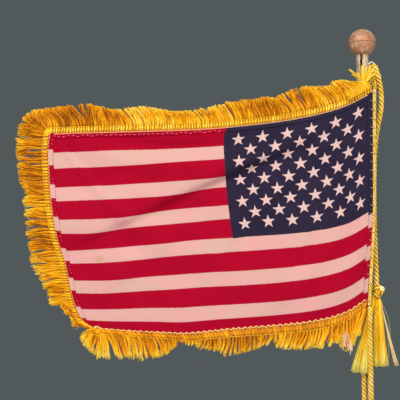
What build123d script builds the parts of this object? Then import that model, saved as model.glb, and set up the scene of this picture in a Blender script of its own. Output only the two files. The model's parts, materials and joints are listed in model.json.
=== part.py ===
"""Desk flag stand: a weighted round base, a rolled-tube staff with a pressed ball on top, and a fringed
miniature flag sewn to a taut cord, with a second cord that carries two tassels.

Millimetres, +Z up. The origin is the centre of the felt's underside. The staff stands on the Z axis, the
flag reaches out along -X, and the flag's back faces the staff from -Y."""

import os
from math import cos, pi, radians, sin, tan

from build123d import *

os.makedirs("parts", exist_ok=True)

# Base, a 3 inch round foot
BASE_R = 38.0
SHELL_T = 1.2
FELT_T = 1.5
PLATE_T = 1.2
STEP_R = 31.5
NECK_R = 9.0
NECK_Z = 26.0
SCREW_R = 2.0
SCREW_HEAD_R = 4.0

# Staff, a 6 mm tube rolled from sheet, with its seam left open
STAFF_R = 3.0
TUBE_T = 0.45
SEAM_W = 1.3
SEAM_TURN = -11.0
STAFF_BOTTOM = 21.0
STAFF_TOP = 257.5
RUN_FIT = 0.05

# Ball, two pressed halves of half-inch size
BALL_R = 6.5
BALL_T = 0.5
BALL_Z = 262.0

# Wire eyes that the cords are tied to
WIRE_R = 0.4
EYE_R = 1.9
TOP_EYE_Z = 251.0
LOW_EYE_Z = 44.0
LOW_EYE_X = 0.9

# Flag, 4 by 6 inches, hung in a plane in front of the staff
FLAG_Y = -10.0
CLOTH_T = 0.8
FRINGE_T = 1.6

# Cords
HALYARD_D = 2.3
HOIST_D = 1.8
TASSEL_CORD_D = 2.6
STITCH_R = 0.15
STITCH_STEP = 4.0
STITCH_COUNT = 24

slim_tube = STAFF_R - TUBE_T
flag_plane = Plane.XZ.offset(-FLAG_Y)


def save(builder, name):
    """Labels a finished piece and writes it."""
    builder.part.label = name
    export_step(builder.part, f"parts/{name}.step")


def turned(name, points):
    """A piece turned about the staff's axis from an outline of (radius, height) corners."""
    with BuildPart() as piece:
        with BuildSketch(Plane.XZ):
            with BuildLine():
                Polyline(*points, close=True)
            make_face()
        revolve(axis=Axis.Z)
    save(piece, name)


def cord(name, points, diameter):
    """A round cord along straight runs joined by arcs as large as the runs allow."""
    corners = [Vector(*p) for p in points]
    runs = [b - a for a, b in zip(corners, corners[1:])]
    radii = []
    for one, two in zip(runs, runs[1:]):
        half_turn = radians(one.get_angle(two)) / 2
        radii.append(0.45 * min(one.length, two.length) / tan(half_turn))
    with BuildPart() as piece:
        with BuildLine():
            route = FilletPolyline(*points, radius=radii)
        with BuildSketch(Plane(origin=route @ 0, z_dir=route % 0)):
            Circle(diameter / 2)
        sweep()
    full = pi * diameter**2 / 4 * route.length
    print(name, "radii", [round(r, 1) for r in radii], "length", round(route.length, 1))
    print(name, "volume over section times length", round(piece.part.volume / full, 4))
    save(piece, name)
    return route


# ---------------------------------------------------------------- base

plate_top = FELT_T + PLATE_T
recess_r = SCREW_HEAD_R + 2.2
recess_top = plate_top + 2.0
weight_top = 14.5
thread_top = 19.0

turned("felt_pad", [(0, 0), (BASE_R - 0.2, 0), (BASE_R - 0.2, FELT_T), (0, FELT_T)])

turned(
    "base_plate",
    [
        (recess_r, FELT_T),
        (BASE_R - SHELL_T - 0.2, FELT_T),
        (BASE_R - SHELL_T - 0.2, plate_top),
        (recess_r, plate_top),
    ],
)

turned(
    "base_weight",
    [
        (recess_r, plate_top),
        (BASE_R - SHELL_T - 1.0, plate_top),
        (BASE_R - SHELL_T - 1.0, 5.9),
        (STEP_R - SHELL_T - 0.7, 5.9),
        (STEP_R - SHELL_T - 0.7, 7.6),
        (19.0, 10.2),
        (NECK_R - SHELL_T, weight_top),
        (SCREW_R + 0.3, weight_top),
        (SCREW_R + 0.3, recess_top),
        (recess_r, recess_top),
    ],
)

# Pressed cover: an upright rim, a flat shoulder, a step and a hollow curve up to the neck
with BuildPart() as base_shell:
    with BuildSketch(Plane.XZ):
        with BuildLine():
            rim = Line((BASE_R, FELT_T), (BASE_R, 5.5))
            shoulder = RadiusArc(rim @ 1, (BASE_R - 2, 7.5), -2)
            ledge = Line(shoulder @ 1, (STEP_R, 7.5))
            step = Line(ledge @ 1, (STEP_R, 9.5))
            sweep_up = Spline(step @ 1, (20, 13), (11.5, 19.5), (NECK_R, NECK_Z), tangents=[(-1, 0.1), (0, 1)])
            lip = Line(sweep_up @ 1, (5.2, NECK_Z))
            hole = Line(lip @ 1, (5.2, NECK_Z - SHELL_T))
            under_lip = Line(hole @ 1, (NECK_R - SHELL_T, NECK_Z - SHELL_T))
            inside = Spline(
                under_lip @ 1,
                (10.5, 18.6),
                (19.6, 11.8),
                (STEP_R - SHELL_T, 8.4),
                tangents=[(0, -1), (1, -0.1)],
            )
            in_step = Line(inside @ 1, (STEP_R - SHELL_T, 7.5 - SHELL_T))
            in_ledge = Line(in_step @ 1, (BASE_R - 2, 7.5 - SHELL_T))
            in_shoulder = RadiusArc(in_ledge @ 1, (BASE_R - SHELL_T, 5.5), 0.8)
            in_rim = Line(in_shoulder @ 1, (BASE_R - SHELL_T, FELT_T))
            Line(in_rim @ 1, rim @ 0)
        make_face()
    revolve(axis=Axis.Z)
save(base_shell, "base_shell")

# Socket bush, held down by a screw from below
with BuildPart() as base_socket:
    with BuildSketch(Plane.XZ):
        with BuildLine():
            Polyline(
                (SCREW_R + 0.02, weight_top),
                (5.15, weight_top),
                (5.15, NECK_Z),
                (8.0, NECK_Z),
                (8.0, NECK_Z + 1.4),
                (7.4, NECK_Z + 2),
                (4 + RUN_FIT, NECK_Z + 2),
                (4 + RUN_FIT, 19.5),
                (0, 19.5),
                (0, thread_top),
                (SCREW_R + 0.02, thread_top),
                close=True,
            )
        make_face()
    revolve(axis=Axis.Z)
save(base_socket, "base_socket")

turned(
    "base_washer",
    [
        (SCREW_R + 0.2, recess_top - 0.4),
        (recess_r - 0.5, recess_top - 0.4),
        (recess_r - 0.5, recess_top),
        (SCREW_R + 0.2, recess_top),
    ],
)

with BuildPart() as base_screw:
    with BuildSketch(Plane.XY.offset(recess_top - 2.4)):
        Circle(SCREW_HEAD_R)
    extrude(amount=2.0)
    chamfer(base_screw.edges().sort_by(Axis.Z)[0], 0.5)
    with BuildSketch(Plane.XY.offset(recess_top - 2.4)):
        Rectangle(2 * SCREW_HEAD_R + 1, 1.0)
    extrude(amount=1.0, mode=Mode.SUBTRACT)
    with BuildSketch(Plane.XY.offset(recess_top - 0.4)):
        Circle(SCREW_R)
    extrude(amount=thread_top - 0.2 - (recess_top - 0.4))
save(base_screw, "base_screw")

# ---------------------------------------------------------------- staff

ferrule_bore = STAFF_R + RUN_FIT
with BuildPart() as staff_ferrule:
    with BuildSketch(Plane.XZ):
        with BuildLine():
            stem = Polyline((0, 19.5), (4, 19.5), (4, NECK_Z + 2), (5.6, NECK_Z + 2), (5.6, NECK_Z + 3.5))
            cove = RadiusArc(stem @ 1, (4.5, NECK_Z + 5), 2.5)
            bead = RadiusArc(cove @ 1, (4.5, NECK_Z + 8), -1.7)
            Polyline(
                bead @ 1,
                (3.9, NECK_Z + 8.4),
                (3.7, NECK_Z + 11),
                (ferrule_bore, NECK_Z + 11),
                (ferrule_bore, STAFF_BOTTOM),
                (0, STAFF_BOTTOM),
                (0, 19.5),
            )
        make_face()
    revolve(axis=Axis.Z)
save(staff_ferrule, "staff_ferrule")

# Rolled tube: its seam runs the whole length on the flag's side
with BuildPart() as staff_tube:
    with BuildSketch(Plane.XY.offset(STAFF_BOTTOM)):
        Circle(STAFF_R)
        Circle(slim_tube, mode=Mode.SUBTRACT)
    extrude(amount=STAFF_TOP - STAFF_BOTTOM)
    with BuildSketch(Plane.XY.offset(STAFF_BOTTOM)):
        with Locations((STAFF_R * sin(radians(SEAM_TURN)), -STAFF_R * cos(radians(SEAM_TURN)))):
            Rectangle(SEAM_W, STAFF_R, rotation=SEAM_TURN)
    extrude(amount=STAFF_TOP - STAFF_BOTTOM, mode=Mode.SUBTRACT)
    with BuildSketch(Plane.YZ):
        with Locations((0, TOP_EYE_Z)):
            Circle(WIRE_R + 0.03)
    extrude(amount=STAFF_R + 1, mode=Mode.SUBTRACT)
    with BuildSketch(Plane.XZ):
        with Locations((LOW_EYE_X, LOW_EYE_Z)):
            Circle(WIRE_R + 0.03)
    extrude(amount=STAFF_R + 1, mode=Mode.SUBTRACT)
save(staff_tube, "staff_tube")

# Wooden plug that keeps the tube round in the ferrule and takes the lower eye's thread
with BuildPart() as staff_plug:
    with BuildSketch(Plane.XY.offset(STAFF_BOTTOM)):
        Circle(slim_tube - 0.02)
    extrude(amount=LOW_EYE_Z + 6 - STAFF_BOTTOM)
    with BuildSketch(Plane.XZ.offset(-0.5)):
        with Locations((LOW_EYE_X, LOW_EYE_Z)):
            Circle(WIRE_R + 0.02)
    extrude(amount=STAFF_R + 1, mode=Mode.SUBTRACT)
save(staff_plug, "staff_plug")

# Upper eye: a wire ring beside the staff, its shank peened over inside the tube
top_eye_x = STAFF_R + 0.5 + EYE_R
with BuildPart() as top_eye:
    with Locations((top_eye_x, 0, TOP_EYE_Z)):
        Torus(EYE_R, WIRE_R, rotation=(90, 0, 0))
    with BuildSketch(Plane.YZ.offset(slim_tube - 0.4)):
        with Locations((0, TOP_EYE_Z)):
            Circle(WIRE_R)
    extrude(amount=top_eye_x - EYE_R - slim_tube + 0.4)
    with BuildSketch(Plane.YZ.offset(slim_tube - 0.6)):
        with Locations((0, TOP_EYE_Z)):
            Circle(2 * WIRE_R)
    extrude(amount=0.4)
save(top_eye, "top_eye")

# Lower eye: a screw eye that stands out of the staff's front
low_eye_y = -(STAFF_R + 0.4 + EYE_R)
with BuildPart() as lower_eye:
    with Locations((LOW_EYE_X, low_eye_y, LOW_EYE_Z)):
        Torus(EYE_R, WIRE_R, rotation=(0, 90, 0))
    with BuildSketch(Plane.XZ):
        with Locations((LOW_EYE_X, LOW_EYE_Z)):
            Circle(WIRE_R)
    extrude(amount=-low_eye_y - EYE_R)
save(lower_eye, "lower_eye")

# ---------------------------------------------------------------- ball

inner_r = BALL_R - BALL_T
mouth_r = STAFF_R + RUN_FIT


def ball_height(radius, across):
    """Height above the ball's middle of a sphere of this radius, this far from its axis."""
    return (radius**2 - across**2) ** 0.5


with BuildPart() as finial_upper:
    with BuildSketch(Plane.XZ):
        with BuildLine():
            out = CenterArc((0, BALL_Z), BALL_R, 0, 90)
            top = Line(out @ 1, (0, BALL_Z + inner_r))
            back = CenterArc((0, BALL_Z), inner_r, 90, -90)
            Line(back @ 1, out @ 0)
        make_face()
    revolve(axis=Axis.Z)
    chamfer(finial_upper.edges().group_by(Axis.Z)[0].sort_by(SortBy.LENGTH)[-1], 0.15)
save(finial_upper, "finial_upper")

with BuildPart() as finial_lower:
    with BuildSketch(Plane.XZ):
        with BuildLine():
            outside = ThreePointArc(
                (BALL_R, BALL_Z),
                (BALL_R * cos(radians(30)), BALL_Z - BALL_R * sin(radians(30))),
                (mouth_r, BALL_Z - ball_height(BALL_R, mouth_r)),
            )
            mouth = Line(outside @ 1, (mouth_r, BALL_Z - ball_height(inner_r, mouth_r)))
            inner = ThreePointArc(
                mouth @ 1,
                (inner_r * cos(radians(30)), BALL_Z - inner_r * sin(radians(30))),
                (inner_r, BALL_Z),
            )
            Line(inner @ 1, outside @ 0)
        make_face()
    revolve(axis=Axis.Z)
    chamfer(finial_lower.edges().group_by(Axis.Z)[-1].sort_by(SortBy.LENGTH)[-1], 0.15)
save(finial_lower, "finial_lower")

# Stem soldered inside the ball, that drops into the tube above the eye's peened end
stem_r = slim_tube - RUN_FIT
turned(
    "finial_stem",
    [
        (0, TOP_EYE_Z + 2.2),
        (stem_r - 0.4, TOP_EYE_Z + 2.2),
        (stem_r, TOP_EYE_Z + 2.6),
        (stem_r, BALL_Z + ball_height(inner_r, stem_r)),
        (0, BALL_Z + ball_height(inner_r, stem_r)),
    ],
)

# ---------------------------------------------------------------- flag

# Outlines in the flag's plane, as (X, Z)
TOP_EDGE = [(-150.0, 218.6), (-126, 219.3), (-79, 220), (-50.6, 222.4), (-12.7, 229.8), (2.6, 237.0)]
HOIST_EDGE = [(2.6, 237.0), (2.6, 209.7), (2.1, 179), (0.4, 157.8), (-1.4, 136.1)]
BOTTOM_EDGE = [(-1.4, 136.1), (-12.4, 130.6), (-52, 127.4), (-90.4, 123.8), (-131.5, 128.9)]
FLY_EDGE = [(-131.5, 128.9), (-139.8, 140.6), (-147.3, 174.3), (-151, 210.8), (-150.0, 218.6)]
TOP_TIPS = [(-161.5, 229.8), (-133, 233), (-107, 231.2), (-76, 231.5), (-27, 240), (1.2, 247.5)]
FLY_TIPS = [(-161.5, 229.8), (-164, 205), (-159.2, 167.4), (-148, 136.5), (-126.5, 113.5)]
BOTTOM_TIPS = [(-126.5, 113.5), (-99.6, 113), (-80, 117.5), (-44, 118), (-17, 118), (-1.8, 124.7)]

with BuildPart() as flag_cloth:
    with BuildSketch(flag_plane):
        with BuildLine():
            Spline(*TOP_EDGE)
            Spline(*HOIST_EDGE)
            Spline(*BOTTOM_EDGE)
            Spline(*FLY_EDGE)
        make_face()
    extrude(amount=CLOTH_T / 2, both=True)
save(flag_cloth, "flag_cloth")


def fringe(name, edge, tips, cut_at):
    """A band of fringe from an edge of the cloth out to its tips, cut off upright beyond cut_at."""
    with BuildPart() as band:
        with BuildSketch(flag_plane):
            with BuildLine():
                sewn = Spline(*edge)
                ends = Spline(*tips)
                Line(sewn @ 0, ends @ 0)
                Line(sewn @ 1, ends @ 1)
            make_face()
        extrude(amount=FRINGE_T / 2, both=True)
        split(bisect_by=Plane.YZ.offset(cut_at), keep=Keep.BOTTOM)
    save(band, name)


fringe("fringe_top", TOP_EDGE, TOP_TIPS, 1.2)
fringe("fringe_fly", FLY_EDGE[::-1], FLY_TIPS, 1.2)
fringe("fringe_bottom", BOTTOM_EDGE[::-1], BOTTOM_TIPS, -1.8)

# Cord sewn along the hoist, and the whip stitches that hold it to the hem
HOIST_ROUTE = [
    (3.75, FLAG_Y, 237.0),
    (3.9, FLAG_Y, 210.0),
    (3.5, FLAG_Y, 180.0),
    (1.9, FLAG_Y, 157.5),
    (0.0, FLAG_Y, 136.4),
]
hoist_line = cord("hoist_cord", HOIST_ROUTE, HOIST_D)

with BuildPart() as hoist_stitches:
    for n in range(STITCH_COUNT):
        at = hoist_line @ ((n + 1) * STITCH_STEP / hoist_line.length)
        with Locations((at.X - 0.3, FLAG_Y, at.Z)):
            Torus(HOIST_D / 2 + 0.5, STITCH_R)
save(hoist_stitches, "hoist_stitches")

# ---------------------------------------------------------------- cords on the staff

# Loop of cord through the upper eye, and the knot that closes it
loop_z = TOP_EYE_Z - EYE_R
with BuildPart() as cord_loop:
    with Locations((top_eye_x, 0, loop_z)):
        Torus(EYE_R, HALYARD_D / 2, rotation=(0, 90, 0))
save(cord_loop, "cord_loop")


def wound_knot(name, centre, radius, height, soft):
    """A knot as a short upright drum with round shoulders."""
    x, y, z = centre
    with BuildPart() as knot:
        with BuildSketch(Plane.XY.offset(z - height / 2)):
            with Locations((x, y)):
                Circle(radius)
        extrude(amount=height)
        fillet(knot.edges().filter_by(GeomType.CIRCLE), soft)
    save(knot, name)


wound_knot("knot_top", (5.5, -0.7, 244.8), 2.3, 4.6, 1.1)
wound_knot("knot_bottom", (-0.8, -6.9, 45.5), 3.4, 6.0, 0.8)

# Short length from the upper knot forward to the top of the hoist
LINK_ROUTE = [(4.7, -2.6, 244.8), (4.5, -7.4, 242.9), (4.0, FLAG_Y, 238.2)]
cord("halyard_link", LINK_ROUTE, HOIST_D)

# Taut runs down to the lower eye: one from the hoist's foot, one behind the flag from the upper knot
FRONT_ROUTE = [(0.0, FLAG_Y, 135.9), (-0.2, -9.8, 122.0), (0.6, -6.6, 48.5)]
BACK_ROUTE = [(4.1, -2.3, 243.4), (0.2, -5.0, 236.0), (-2.4, -4.1, 227.0), (-2.5, -3.8, 98.0), (-2.3, -6.5, 48.5)]
cord("halyard_front", FRONT_ROUTE, HALYARD_D)
cord("halyard_back", BACK_ROUTE, HALYARD_D)

# The tassel cord bows out beside the flag's top corner and drops behind the hoist
TASSEL_ROUTE = [
    (5.7, -2.1, 250.3),
    (7.0, -2.8, 245.3),
    (8.3, -3.4, 237.0),
    (7.9, -4.0, 228.5),
    (5.6, -4.4, 218.0),
    (4.5, -4.5, 203.0),
    (4.2, -4.6, 180.0),
    (4.3, -4.8, 160.0),
    (4.3, -5.0, 146.0),
]
cord("tassel_cord", TASSEL_ROUTE, TASSEL_CORD_D)

# Knot at the end of the tassel cord, and the short bight that carries the left tassel
KNOT = (4.4, -5.0, 142.1)
with BuildPart() as tassel_knot:
    with BuildSketch(Plane(origin=KNOT, x_dir=(1, 0, 0), z_dir=(0, -1, 0))):
        Ellipse(2.6, 4.0)
        Rectangle(20, 20, align=(Align.MAX, Align.CENTER), mode=Mode.SUBTRACT)
    revolve(axis=Axis(KNOT, (0, 0, 1)))
save(tassel_knot, "tassel_knot")

LEFT_PIVOT = (1.7, -6.75, 138.6)
RIGHT_PIVOT = (4.6, -4.9, 137.9)
cord("tassel_bight", [(3.2, -5.7, 141.6), (2.1, -6.6, 140.6), (1.7, -6.75, 138.8)], 1.1)


def tassel(side, pivot, foot, neck_radii, foot_radii):
    """Head, binding and skirt of one tassel, along a line from its pivot to the middle of its foot."""
    down = (Vector(*foot) - Vector(*pivot)).normalized()
    length = (Vector(*foot) - Vector(*pivot)).length
    head_at, bind_at, skirt_at = 1.2, 5.0, 6.4

    def level(depth):
        return Plane(origin=Vector(*pivot) + down * depth, x_dir=(1, 0, 0.0001), z_dir=down)

    with BuildPart() as head:
        with BuildSketch(level(head_at)):
            Circle(neck_radii[0] + 0.2)
        extrude(amount=bind_at - head_at)
        fillet(head.edges().filter_by(GeomType.CIRCLE), 0.9)
        with BuildSketch(level(0.2)):
            Circle(0.5)
        extrude(amount=head_at)
    save(head, f"tassel_{side}_head")
    with BuildPart() as binding:
        with BuildSketch(level(bind_at)):
            Ellipse(neck_radii[0] - 0.1, neck_radii[1] - 0.1)
        extrude(amount=skirt_at - bind_at)
    save(binding, f"tassel_{side}_binding")
    with BuildPart() as skirt:
        with BuildSketch(level(skirt_at)):
            Ellipse(*neck_radii)
        with BuildSketch(level(length)):
            Ellipse(*foot_radii)
        loft(ruled=True)
    save(skirt, f"tassel_{side}_skirt")


tassel("left", LEFT_PIVOT, (-5.1, -7.1, 105.2), (1.6, 1.5), (3.9, 1.9))
tassel("right", RIGHT_PIVOT, (5.6, -4.6, 107.2), (1.9, 1.8), (3.6, 2.9))
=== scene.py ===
import json
import math

import bpy
import numpy as np
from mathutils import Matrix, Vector, noise


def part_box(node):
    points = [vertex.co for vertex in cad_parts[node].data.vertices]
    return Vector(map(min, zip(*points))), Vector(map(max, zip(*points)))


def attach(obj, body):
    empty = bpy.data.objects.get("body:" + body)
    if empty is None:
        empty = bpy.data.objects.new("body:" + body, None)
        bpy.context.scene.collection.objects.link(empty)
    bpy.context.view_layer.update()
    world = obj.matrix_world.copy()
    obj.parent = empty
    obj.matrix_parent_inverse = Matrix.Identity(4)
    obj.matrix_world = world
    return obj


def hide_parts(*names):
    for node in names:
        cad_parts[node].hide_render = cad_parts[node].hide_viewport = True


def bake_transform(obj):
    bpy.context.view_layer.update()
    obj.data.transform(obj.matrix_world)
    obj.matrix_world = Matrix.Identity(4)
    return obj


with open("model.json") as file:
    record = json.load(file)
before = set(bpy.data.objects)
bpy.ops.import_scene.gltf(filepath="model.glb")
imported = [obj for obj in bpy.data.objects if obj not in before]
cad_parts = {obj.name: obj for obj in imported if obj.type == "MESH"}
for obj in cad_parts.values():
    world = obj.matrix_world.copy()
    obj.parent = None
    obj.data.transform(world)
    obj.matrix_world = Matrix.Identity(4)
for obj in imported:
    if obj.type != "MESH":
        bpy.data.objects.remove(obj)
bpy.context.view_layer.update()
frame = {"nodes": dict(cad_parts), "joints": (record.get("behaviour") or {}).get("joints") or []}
bpy.ops.object.select_all(action="DESELECT")
nodes = frame["nodes"]

MM = 0.001
UP = np.array([0.0, 0.0, 1.0])
GOLDEN_ANGLE = 2.39996
rng = np.random.default_rng(11)


def corners(node):
    """The low and high corners of a CAD node's box, in metres."""
    return [np.array(corner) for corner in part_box(node)]


def centre(node):
    """Middle of a CAD node's box, in metres."""
    low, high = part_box(node)
    return np.array((Vector(low) + Vector(high)) / 2)


def joint(name):
    """Where a hinge's axis stands, in metres."""
    return np.array(next(j for j in frame["joints"] if j["name"] == name)["pos_m"])


# ---------------------------------------------------------------- camera, floor and light

flag_y = centre("flag_cloth")[1]
staff_low, staff_high = corners("staff_tube")
ball_low, ball_high = corners("finial_upper")
ball_z = ball_low[2]

VIEW_DISTANCE = 0.4446
VIEW_WIDTH = 0.189
VIEW_TILT = math.radians(0.92)
SENSOR = 36.0
FLOOR_R = 0.4

camera = bpy.data.objects.new("camera", bpy.data.cameras.new("camera"))
bpy.context.collection.objects.link(camera)
camera.data.sensor_width = SENSOR
camera.data.lens = SENSOR * VIEW_DISTANCE / VIEW_WIDTH
camera.data.clip_start = 0.05
camera.data.clip_end = 10
camera.location = (-0.0795, flag_y - VIEW_DISTANCE, ball_z - 0.0746)
camera.rotation_euler = (math.radians(90), VIEW_TILT, 0)
bpy.context.scene.camera = camera
bpy.context.scene.view_settings.view_transform = "Standard"


LOOK_AT = (-0.07, 0, 0.17)


def lamp(name, place, size, watts):
    """A square soft light at a place, turned towards the object."""
    light = bpy.data.objects.new(name, bpy.data.lights.new(name, "AREA"))
    bpy.context.collection.objects.link(light)
    light.data.size = size
    light.data.energy = watts
    light.location = place
    light.rotation_euler = (Vector(LOOK_AT) - Vector(place)).to_track_quat("-Z", "Y").to_euler()


lamp("key_light", (-0.30, -0.75, 0.72), 0.5, 10.0)
lamp("fill_light", (0.65, -0.8, 0.25), 0.9, 5.6)
lamp("rim_light", (0.15, 0.65, 0.75), 0.7, 4)

world = bpy.data.worlds.new("studio")
bpy.context.scene.world = world
world.use_nodes = True
backdrop = world.node_tree.nodes["Background"].inputs
backdrop["Color"].default_value = (0.085, 0.100, 0.102, 1)
backdrop["Strength"].default_value = 1.0

bpy.ops.mesh.primitive_circle_add(vertices=128, radius=FLOOR_R, fill_type="NGON", location=(0, 0, 0))
floor = bpy.context.object
floor.name = "floor"


# ---------------------------------------------------------------- material helpers


class Shader:
    """A material with short calls for its nodes."""

    def __init__(self, name, **sockets):
        self.mat = bpy.data.materials.new(name)
        self.mat.use_nodes = True
        self.tree = self.mat.node_tree
        self.principled = self.tree.nodes["Principled BSDF"]
        for socket, value in sockets.items():
            self.principled.inputs[socket.replace("_", " ")].default_value = value

    def node(self, kind, values=(), **settings):
        """Adds a node; values is (socket, number or output) pairs."""
        made = self.tree.nodes.new(kind)
        for key, value in settings.items():
            setattr(made, key, value)
        for socket, value in values:
            self.put(made.inputs[socket], value)
        return made

    def put(self, socket, value):
        if isinstance(value, bpy.types.NodeSocket):
            self.tree.links.new(value, socket)
        else:
            socket.default_value = value

    def math(self, operation, a, b=0.0, c=0.0, clamp=False):
        made = self.node("ShaderNodeMath", [(0, a), (1, b), (2, c)], operation=operation)
        made.use_clamp = clamp
        return made.outputs[0]

    def times(self, a, b, clamp=False):
        return self.math("MULTIPLY", a, b, clamp=clamp)

    def plus(self, a, b, clamp=False):
        return self.math("ADD", a, b, clamp=clamp)

    def minus(self, a, b):
        return self.math("SUBTRACT", a, b)

    def step(self, value, low, high):
        """0 below low, 1 above high, smooth between."""
        values = [(0, value), (1, low), (2, high)]
        return self.node("ShaderNodeMapRange", values, interpolation_type="SMOOTHSTEP").outputs[0]

    def mix(self, share, a, b, blend="MIX"):
        values = [(0, share), (6, a), (7, b)]
        return self.node("ShaderNodeMix", values, data_type="RGBA", blend_type=blend).outputs[2]

    def place(self, scale=(1, 1, 1)):
        source = self.node("ShaderNodeTexCoord").outputs["Object"]
        return self.node("ShaderNodeMapping", [("Vector", source), ("Scale", scale)]).outputs[0]

    def noise(self, vector, scale, detail=3.0, rough=0.5, distort=0.0):
        values = [("Vector", vector), ("Scale", scale), ("Detail", detail), ("Roughness", rough)]
        return self.node("ShaderNodeTexNoise", values + [("Distortion", distort)]).outputs[0]

    def wave(self, vector, scale, distort, detail, direction):
        values = [("Vector", vector), ("Scale", scale), ("Distortion", distort), ("Detail", detail)]
        return self.node("ShaderNodeTexWave", values, bands_direction=direction).outputs[1]

    def ramp(self, value, *stops):
        made = self.node("ShaderNodeValToRGB", [(0, value)])
        ends = made.color_ramp.elements
        for place, colour in stops[2:]:
            ends.new(place)
        for end, (place, colour) in zip(ends, stops):
            end.position = place
            end.color = (*colour, 1)
        return made.outputs[0]

    def colour(self, value):
        self.put(self.principled.inputs["Base Color"], value)

    def rough(self, value, low, high):
        spread = self.node("ShaderNodeMapRange", [(0, value), (3, low), (4, high)]).outputs[0]
        self.put(self.principled.inputs["Roughness"], spread)

    def bump(self, height, depth, strength=1.0):
        values = [("Height", height), ("Distance", depth), ("Strength", strength)]
        self.put(self.principled.inputs["Normal"], self.node("ShaderNodeBump", values).outputs[0])


# ---------------------------------------------------------------- cloth print

FLAG_W = 0.1524
FLAG_H = 0.1016
STRIPES = 13
CANTON_W = 0.452
CANTON_H = 0.546
STAR_R = 3.35
STAR_TURN = math.radians(72)
RED_SHARE = 0.56
STAR_WHITE = (0.72, 0.47, 0.43, 1)
STAIN_AT = (0.889, 0.588, 0)
THREADS = 2.9


def cloth_print():
    """Printed plain weave: U runs from the hoist to the fly and V from the top down."""
    s = Shader("printed_cloth", Roughness=0.8, Specular_IOR_Level=0.05)
    uv = s.node("ShaderNodeUVMap", uv_map="cloth").outputs[0]
    split = s.node("ShaderNodeSeparateXYZ", [(0, uv)])
    u, v = split.outputs[0], split.outputs[1]
    ragged = s.times(s.minus(s.noise(uv, 160, 2), 0.5), 0.004)
    along = s.plus(u, ragged)
    down = s.plus(v, ragged)
    # The red ink has spread, so the red stripes are wider than the pale ones
    pairs = (STRIPES - 1) / 2 + RED_SHARE
    band = s.math("FRACT", s.times(down, pairs))

    def past(value, place, soft):
        """1 where value is past a place, over a soft edge. A negative soft turns it round."""
        return s.step(value, place - soft, place + soft)

    def within(value, low, high):
        return s.times(past(value, low, 0.002), past(value, high, -0.002))

    edge = 0.012
    white = s.times(past(band, RED_SHARE, edge), s.step(band, 1.0, 1.0 - edge * 2))
    in_canton = s.times(past(along, CANTON_W, -0.001), past(down, CANTON_H, -0.001))
    a = s.math("DIVIDE", s.minus(along, 0.012), CANTON_W - 0.02)
    b = s.math("DIVIDE", s.minus(down, 0.01), CANTON_H - 0.02)

    def star_rows(shift):
        """Stars on one lattice of six across and five down, moved by shift of a cell."""
        cells = []
        for value, count, size in ((a, 6, CANTON_W * FLAG_W), (b, 5, CANTON_H * FLAG_H)):
            local = s.minus(s.math("FRACT", s.math("MULTIPLY_ADD", value, count, shift)), 0.5)
            cells.append(s.times(local, size / count / MM))
        x, y = cells
        squares = s.plus(s.times(x, x), s.times(y, y))
        radius = s.math("POWER", squares, 0.5)
        angle = s.math("ARCTAN2", x, s.times(y, -1))
        folded = s.math("PINGPONG", s.plus(angle, 4 * math.pi), math.pi / 5)
        reach = s.times(radius, s.math("COSINE", s.minus(folded, STAR_TURN)))
        return past(reach, STAR_R * math.cos(STAR_TURN), -0.04)

    first = s.times(star_rows(0.0), s.times(within(a, 0, 1), within(b, 0, 1)))
    inner = s.times(within(a, 1 / 12, 11 / 12), within(b, 0.1, 0.9))
    star = s.math("MAXIMUM", first, s.times(star_rows(0.5), inner))

    # Uneven ink, the red that shows through the pale stripes, and age
    mottle = s.noise(uv, 7, 4, 0.6)
    fine = s.noise(uv, 90, 3, 0.7)
    red = s.mix(mottle, (0.33, 0.0004, 0.015, 1), (0.50, 0.001, 0.026, 1))
    red = s.mix(s.times(fine, 0.35), red, (0.26, 0.0005, 0.012, 1))
    cream = s.mix(s.step(mottle, 0.35, 0.7), (0.74, 0.355, 0.335, 1), (0.66, 0.40, 0.32, 1))
    cream = s.mix(s.times(s.step(fine, 0.55, 0.8), 0.25), cream, (0.62, 0.30, 0.27, 1))
    navy = s.mix(mottle, (0.016, 0.012, 0.030, 1), (0.034, 0.023, 0.050, 1))
    ground = s.mix(white, red, cream)
    ground = s.mix(in_canton, ground, s.mix(star, navy, STAR_WHITE))
    stain_at = s.node("ShaderNodeVectorMath", [(0, uv), (1, STAIN_AT)], operation="DISTANCE").outputs[1]
    stain = s.times(s.step(stain_at, 0.026, 0.006), s.minus(s.noise(uv, 60, 2), 0.05))
    ground = s.mix(s.times(stain, 0.9, clamp=True), ground, (0.50, 0.27, 0.13, 1))
    weave_scale = (FLAG_W / MM * THREADS, FLAG_H / MM * THREADS, 1)
    threads = s.node("ShaderNodeMapping", [("Vector", uv), ("Scale", weave_scale)]).outputs[0]
    warp = s.wave(threads, 0.5, 0.6, 1.0, "X")
    weft = s.wave(threads, 0.5, 0.6, 1.0, "Y")
    weave = s.times(s.plus(warp, weft), 0.5)
    # Painted shade: the hollows between the warp and weft threads are darkened
    hollow = s.times(s.minus(1.0, weave), 0.22)
    ground = s.mix(hollow, ground, (0.45, 0.40, 0.45, 1), "MULTIPLY")
    s.colour(ground)
    s.rough(weave, 0.85, 0.70)
    s.bump(s.plus(weave, s.times(s.noise(uv, 34, 4, 0.6), 2.0)), 0.00006, 0.7)
    return s.mat


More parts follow.
